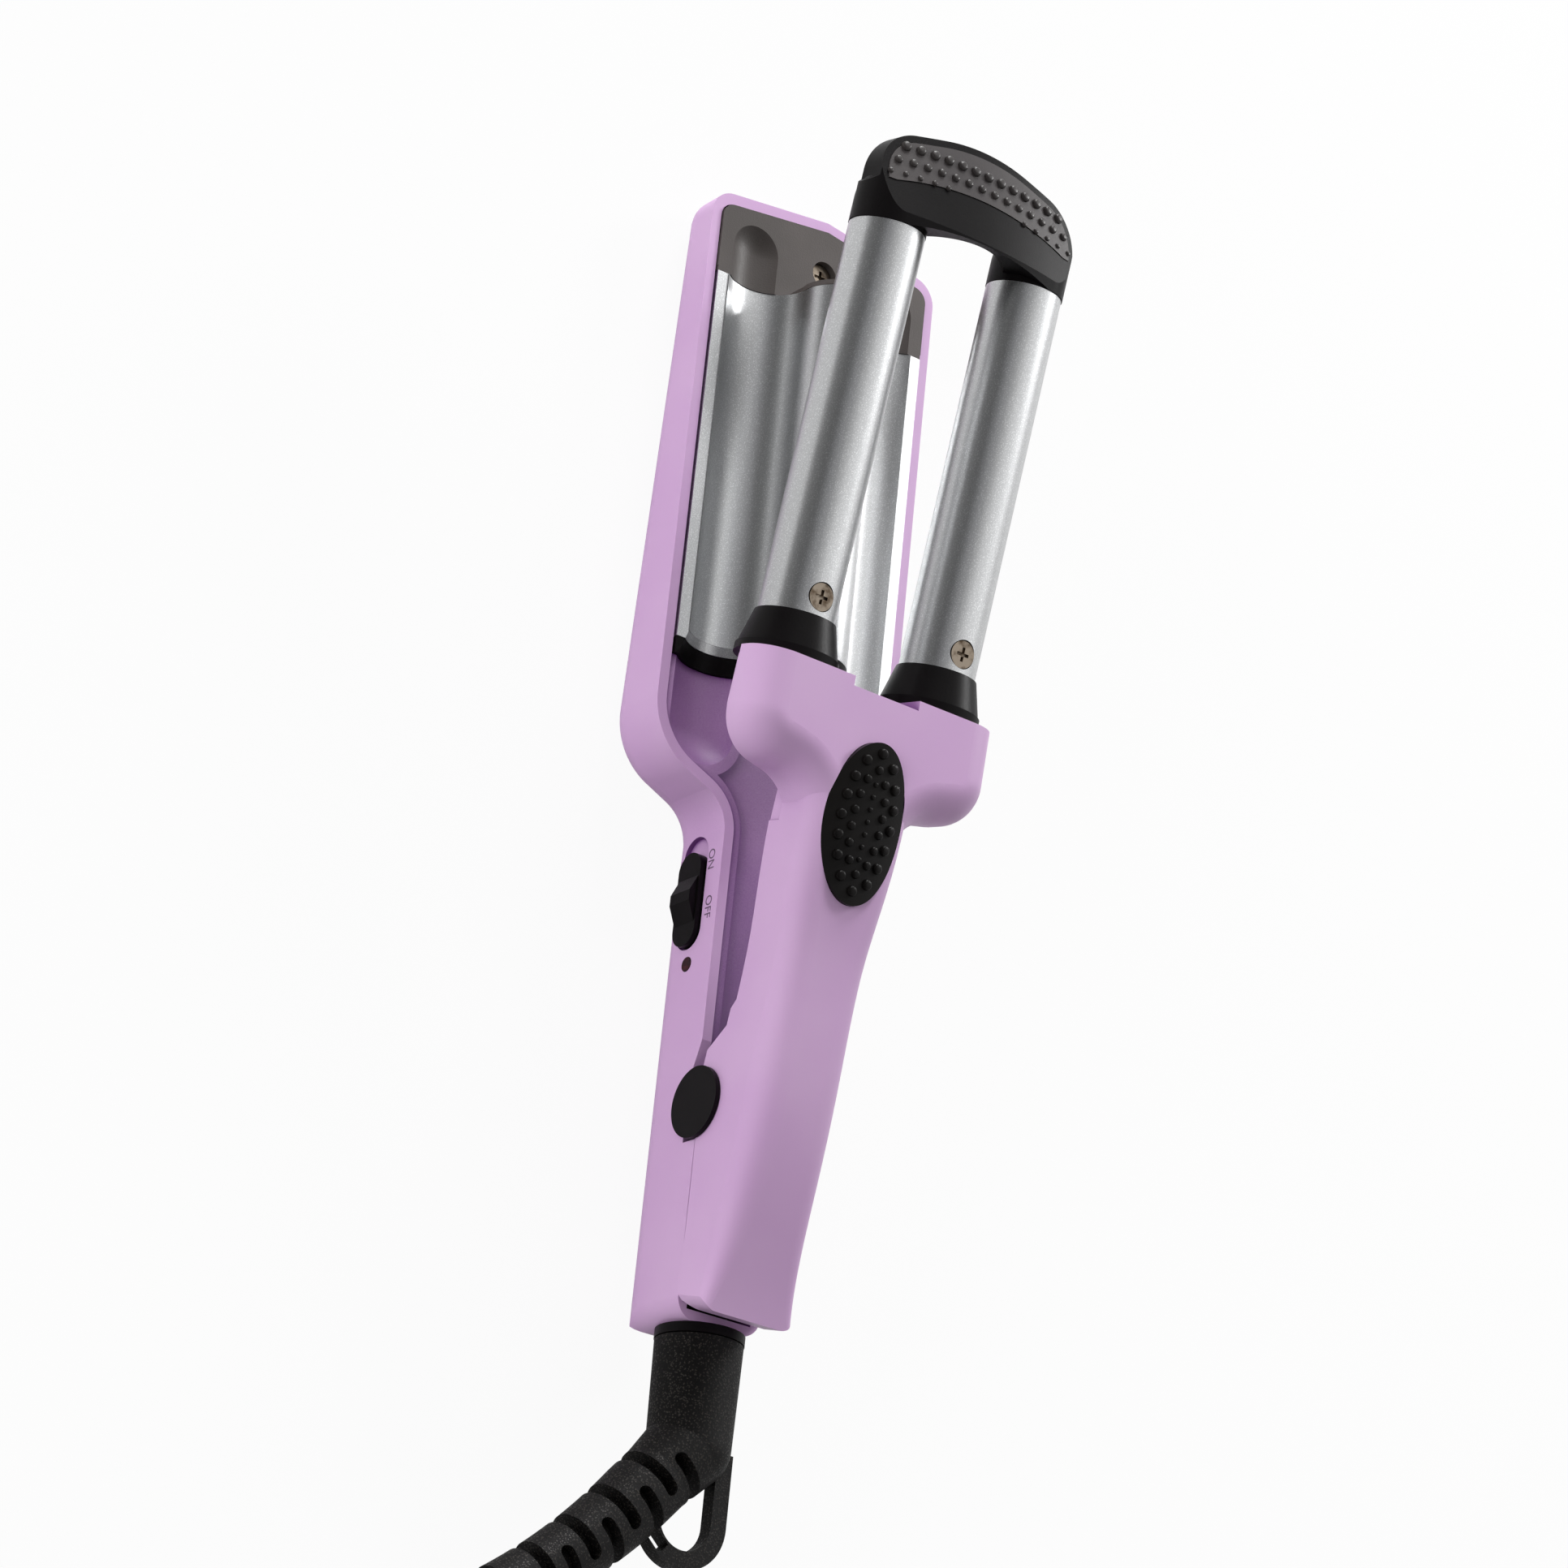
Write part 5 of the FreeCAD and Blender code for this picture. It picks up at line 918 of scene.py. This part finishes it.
def grip_dots() -> RaisedDots:
    """Lay out the tip grip's dots: large at the tip, then smaller rows set between them.

    Returns:
        The field of dots.
    """
    apart, bow = 2.95, 0.022
    rows = [(174.6, 13, 1.95, 0.7), (171.6, 14, 1.6, 0.6), (169.0, 15, 1.05, 0.4)]
    dots = []
    for along, count, across, high in rows:
        for number in range(count):
            aside = number - (count - 1) / 2
            dots.append((along - aside * aside * bow, apart * aside, across, high))
    return RaisedDots("grip_dots", "bridge_grip", "grey_rubber", dots)


@dataclass
class SideWord:
    """A small printed word beside the switch, read towards the hinge."""

    text: str
    along: float
    level: float
    size: float = 2.55
    ink_thick: float = 0.02
    ink_lift: float = 0.01
    looked_from: float = 40.0

    def build(self, nodes: dict[str, bpy.types.Object]) -> bpy.types.Object:
        """Lay the word on the shell's side.

        Args:
            nodes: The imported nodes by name.

        Returns:
            The word.
        """
        curve = bpy.data.curves.new("word_" + self.text.lower(), "FONT")
        curve.body = self.text
        curve.size = self.size * MM
        curve.extrude = self.ink_thick * MM
        curve.align_x, curve.align_y = "CENTER", "CENTER"
        word = bpy.data.objects.new(curve.name, curve)
        bpy.context.scene.collection.objects.link(word)
        outside = LOWER @ (Vector((self.along, self.looked_from, self.level)) * MM)
        _, spot, normal, _ = nodes["lower_shell"].ray_cast(outside, Vector((0, -1, 0)))
        reading = (LOWER.to_3x3() @ Vector((-1, 0, 0))).normalized()
        upright = normal.cross(reading).normalized()
        turn = Matrix((reading, upright, normal)).transposed().to_4x4()
        word.matrix_world = Matrix.Translation(spot + normal * self.ink_lift * MM) @ turn
        return word


@dataclass
class Studio:
    """A plain pale floor under plain soft lights."""

    floor_half: float = 3.0
    floor_colour: Colour = (0.8, 0.8, 0.8)
    floor_seen: float = 0.93
    floor_in_gloss: float = 0.2
    ambient: float = 0.27
    lit_spot: Vector = Vector((-0.04, 0.0, 0.02))

    def build(self) -> None:
        """Lay the floor, hang the lights and set the world."""
        self.lay_floor()
        self.hang_light("tip_light", Vector((1.5, -0.12, 0.58)), size=0.7, level=0.88)
        self.hang_light("right_light", Vector((0.54, -0.82, 0.47)), size=0.28, level=0.46)
        self.hang_light("left_light", Vector((-0.04, 1.08, 0.32)), size=0.8, level=0.62, in_gloss=False)
        self.set_world()
        bpy.context.scene.view_settings.view_transform = "Standard"

    def lay_floor(self) -> None:
        """Make the floor, which looks white but keeps the object's shadow."""
        half = self.floor_half
        data = bpy.data.meshes.new("floor")
        corners = [(-half, -half, 0), (half, -half, 0), (half, half, 0), (-half, half, 0)]
        data.from_pydata(corners, [], [(0, 1, 2, 3)])
        floor = bpy.data.objects.new("floor", data)
        bpy.context.scene.collection.objects.link(floor)
        material = bpy.data.materials.new("floor_paper")
        material.use_nodes = True
        tree = ShaderTree(material.node_tree)
        matt = tree.node("BsdfDiffuse", values={"Color": (*self.floor_colour, 1.0)})
        glow = tree.node("Emission", values={"Color": WHITE, "Strength": 1.0})
        mirrored = self.ray(tree, "Is Glossy Ray") * self.floor_in_gloss
        seen = tree.maths("MAXIMUM", self.straight(tree) * self.floor_seen, mirrored)
        mixed = tree.node("MixShader", values={0: seen, 1: matt, 2: glow})
        tree.node("OutputMaterial", values={"Surface": mixed})
        data.materials.append(material)

    @staticmethod
    def ray(tree: ShaderTree, kind: str) -> Wire:
        """Whether the light path is of this kind."""
        return tree.node("LightPath", output=kind)

    def straight(self, tree: ShaderTree) -> Wire:
        """Whether the light path comes straight from the camera, or through a clear piece."""
        return tree.maths("MAXIMUM", self.ray(tree, "Is Camera Ray"), self.ray(tree, "Is Transmission Ray"))

    def hang_light(
        self, name: str, place: Vector, size: float, level: float, in_gloss: bool = True
    ) -> None:
        """Hang a soft square light that faces the crimper.

        Args:
            name: Its name.
            place: Where it hangs, in metres.
            size: Its side.
            level: How brightly it lights a white card at the crimper, from 0 to 1.
            in_gloss: Whether metal and gloss show it.
        """
        data = bpy.data.lights.new(name, "AREA")
        data.size = size
        away = place - self.lit_spot
        data.energy = level * (math.pi * away.length) ** 2
        light = bpy.data.objects.new(name, data)
        light.visible_glossy = in_gloss
        bpy.context.scene.collection.objects.link(light)
        turned = away.to_track_quat("Z", "Y").to_matrix().to_4x4()
        light.matrix_world = Matrix.Translation(place) @ turned

    def set_world(self) -> None:
        """Make the surroundings: white to look at, and a room with darker walls in gloss."""
        world = bpy.data.worlds.new("studio")
        world.use_nodes = True
        bpy.context.scene.world = world
        tree = ShaderTree(world.node_tree)
        facing = tree.node("TexCoord", output="Generated")
        heading = tree.node("SeparateXYZ", values={0: facing}, output="Y")
        shades = [
            (0.0, (0.6, 0.6, 0.6)),
            (0.12, (0.9, 0.9, 0.9)),
            (0.32, (0.95, 0.95, 0.95)),
            (0.5, (0.55, 0.55, 0.55)),
            (0.72, (0.3, 0.3, 0.31)),
            (0.86, (0.1, 0.1, 0.1)),
            (1.0, (0.22, 0.22, 0.22)),
        ]
        room = tree.node("ValToRGB", {"stops": shades}, {0: heading * 0.5 + 0.5})
        plain = tree.node("Background", values={"Color": WHITE, "Strength": self.ambient})
        gloss = tree.node("Background", values={"Color": room, "Strength": 1.0})
        white = tree.node("Background", values={"Color": WHITE, "Strength": 1.0})
        lit = tree.node("MixShader", values={0: self.ray(tree, "Is Glossy Ray"), 1: plain, 2: gloss})
        both = tree.node("MixShader", values={0: self.straight(tree), 1: lit, 2: white})
        tree.node("OutputWorld", values={"Surface": both})


def main() -> None:
    """Build the crimper's looks in order and report each piece."""
    logging.basicConfig(level=logging.INFO, format="%(message)s")
    nodes = frame["nodes"]
    Camera().build()
    lead = MainsLead().build(nodes)
    wardrobe = Wardrobe(FINISHES)
    wardrobe.dress_nodes(nodes)
    wardrobe.hand_over(lead, "cord_rubber", Body.SWIVEL)
    for dots, finish in ((thumb_dots(), ""), (grip_dots(), "grip_button")):
        wardrobe.hand_over(dots.build(nodes), dots.slot, Body.UPPER_JAW, finish)
    for word in (SideWord("ON", 46.6, -3.2), SideWord("OFF", 37.4, -2.7)):
        wardrobe.hand_over(word.build(nodes), "dark_grey_plastic", Body.LOWER_JAW, "word_ink")
    Studio().build()


if __name__ == "__main__":
    main()
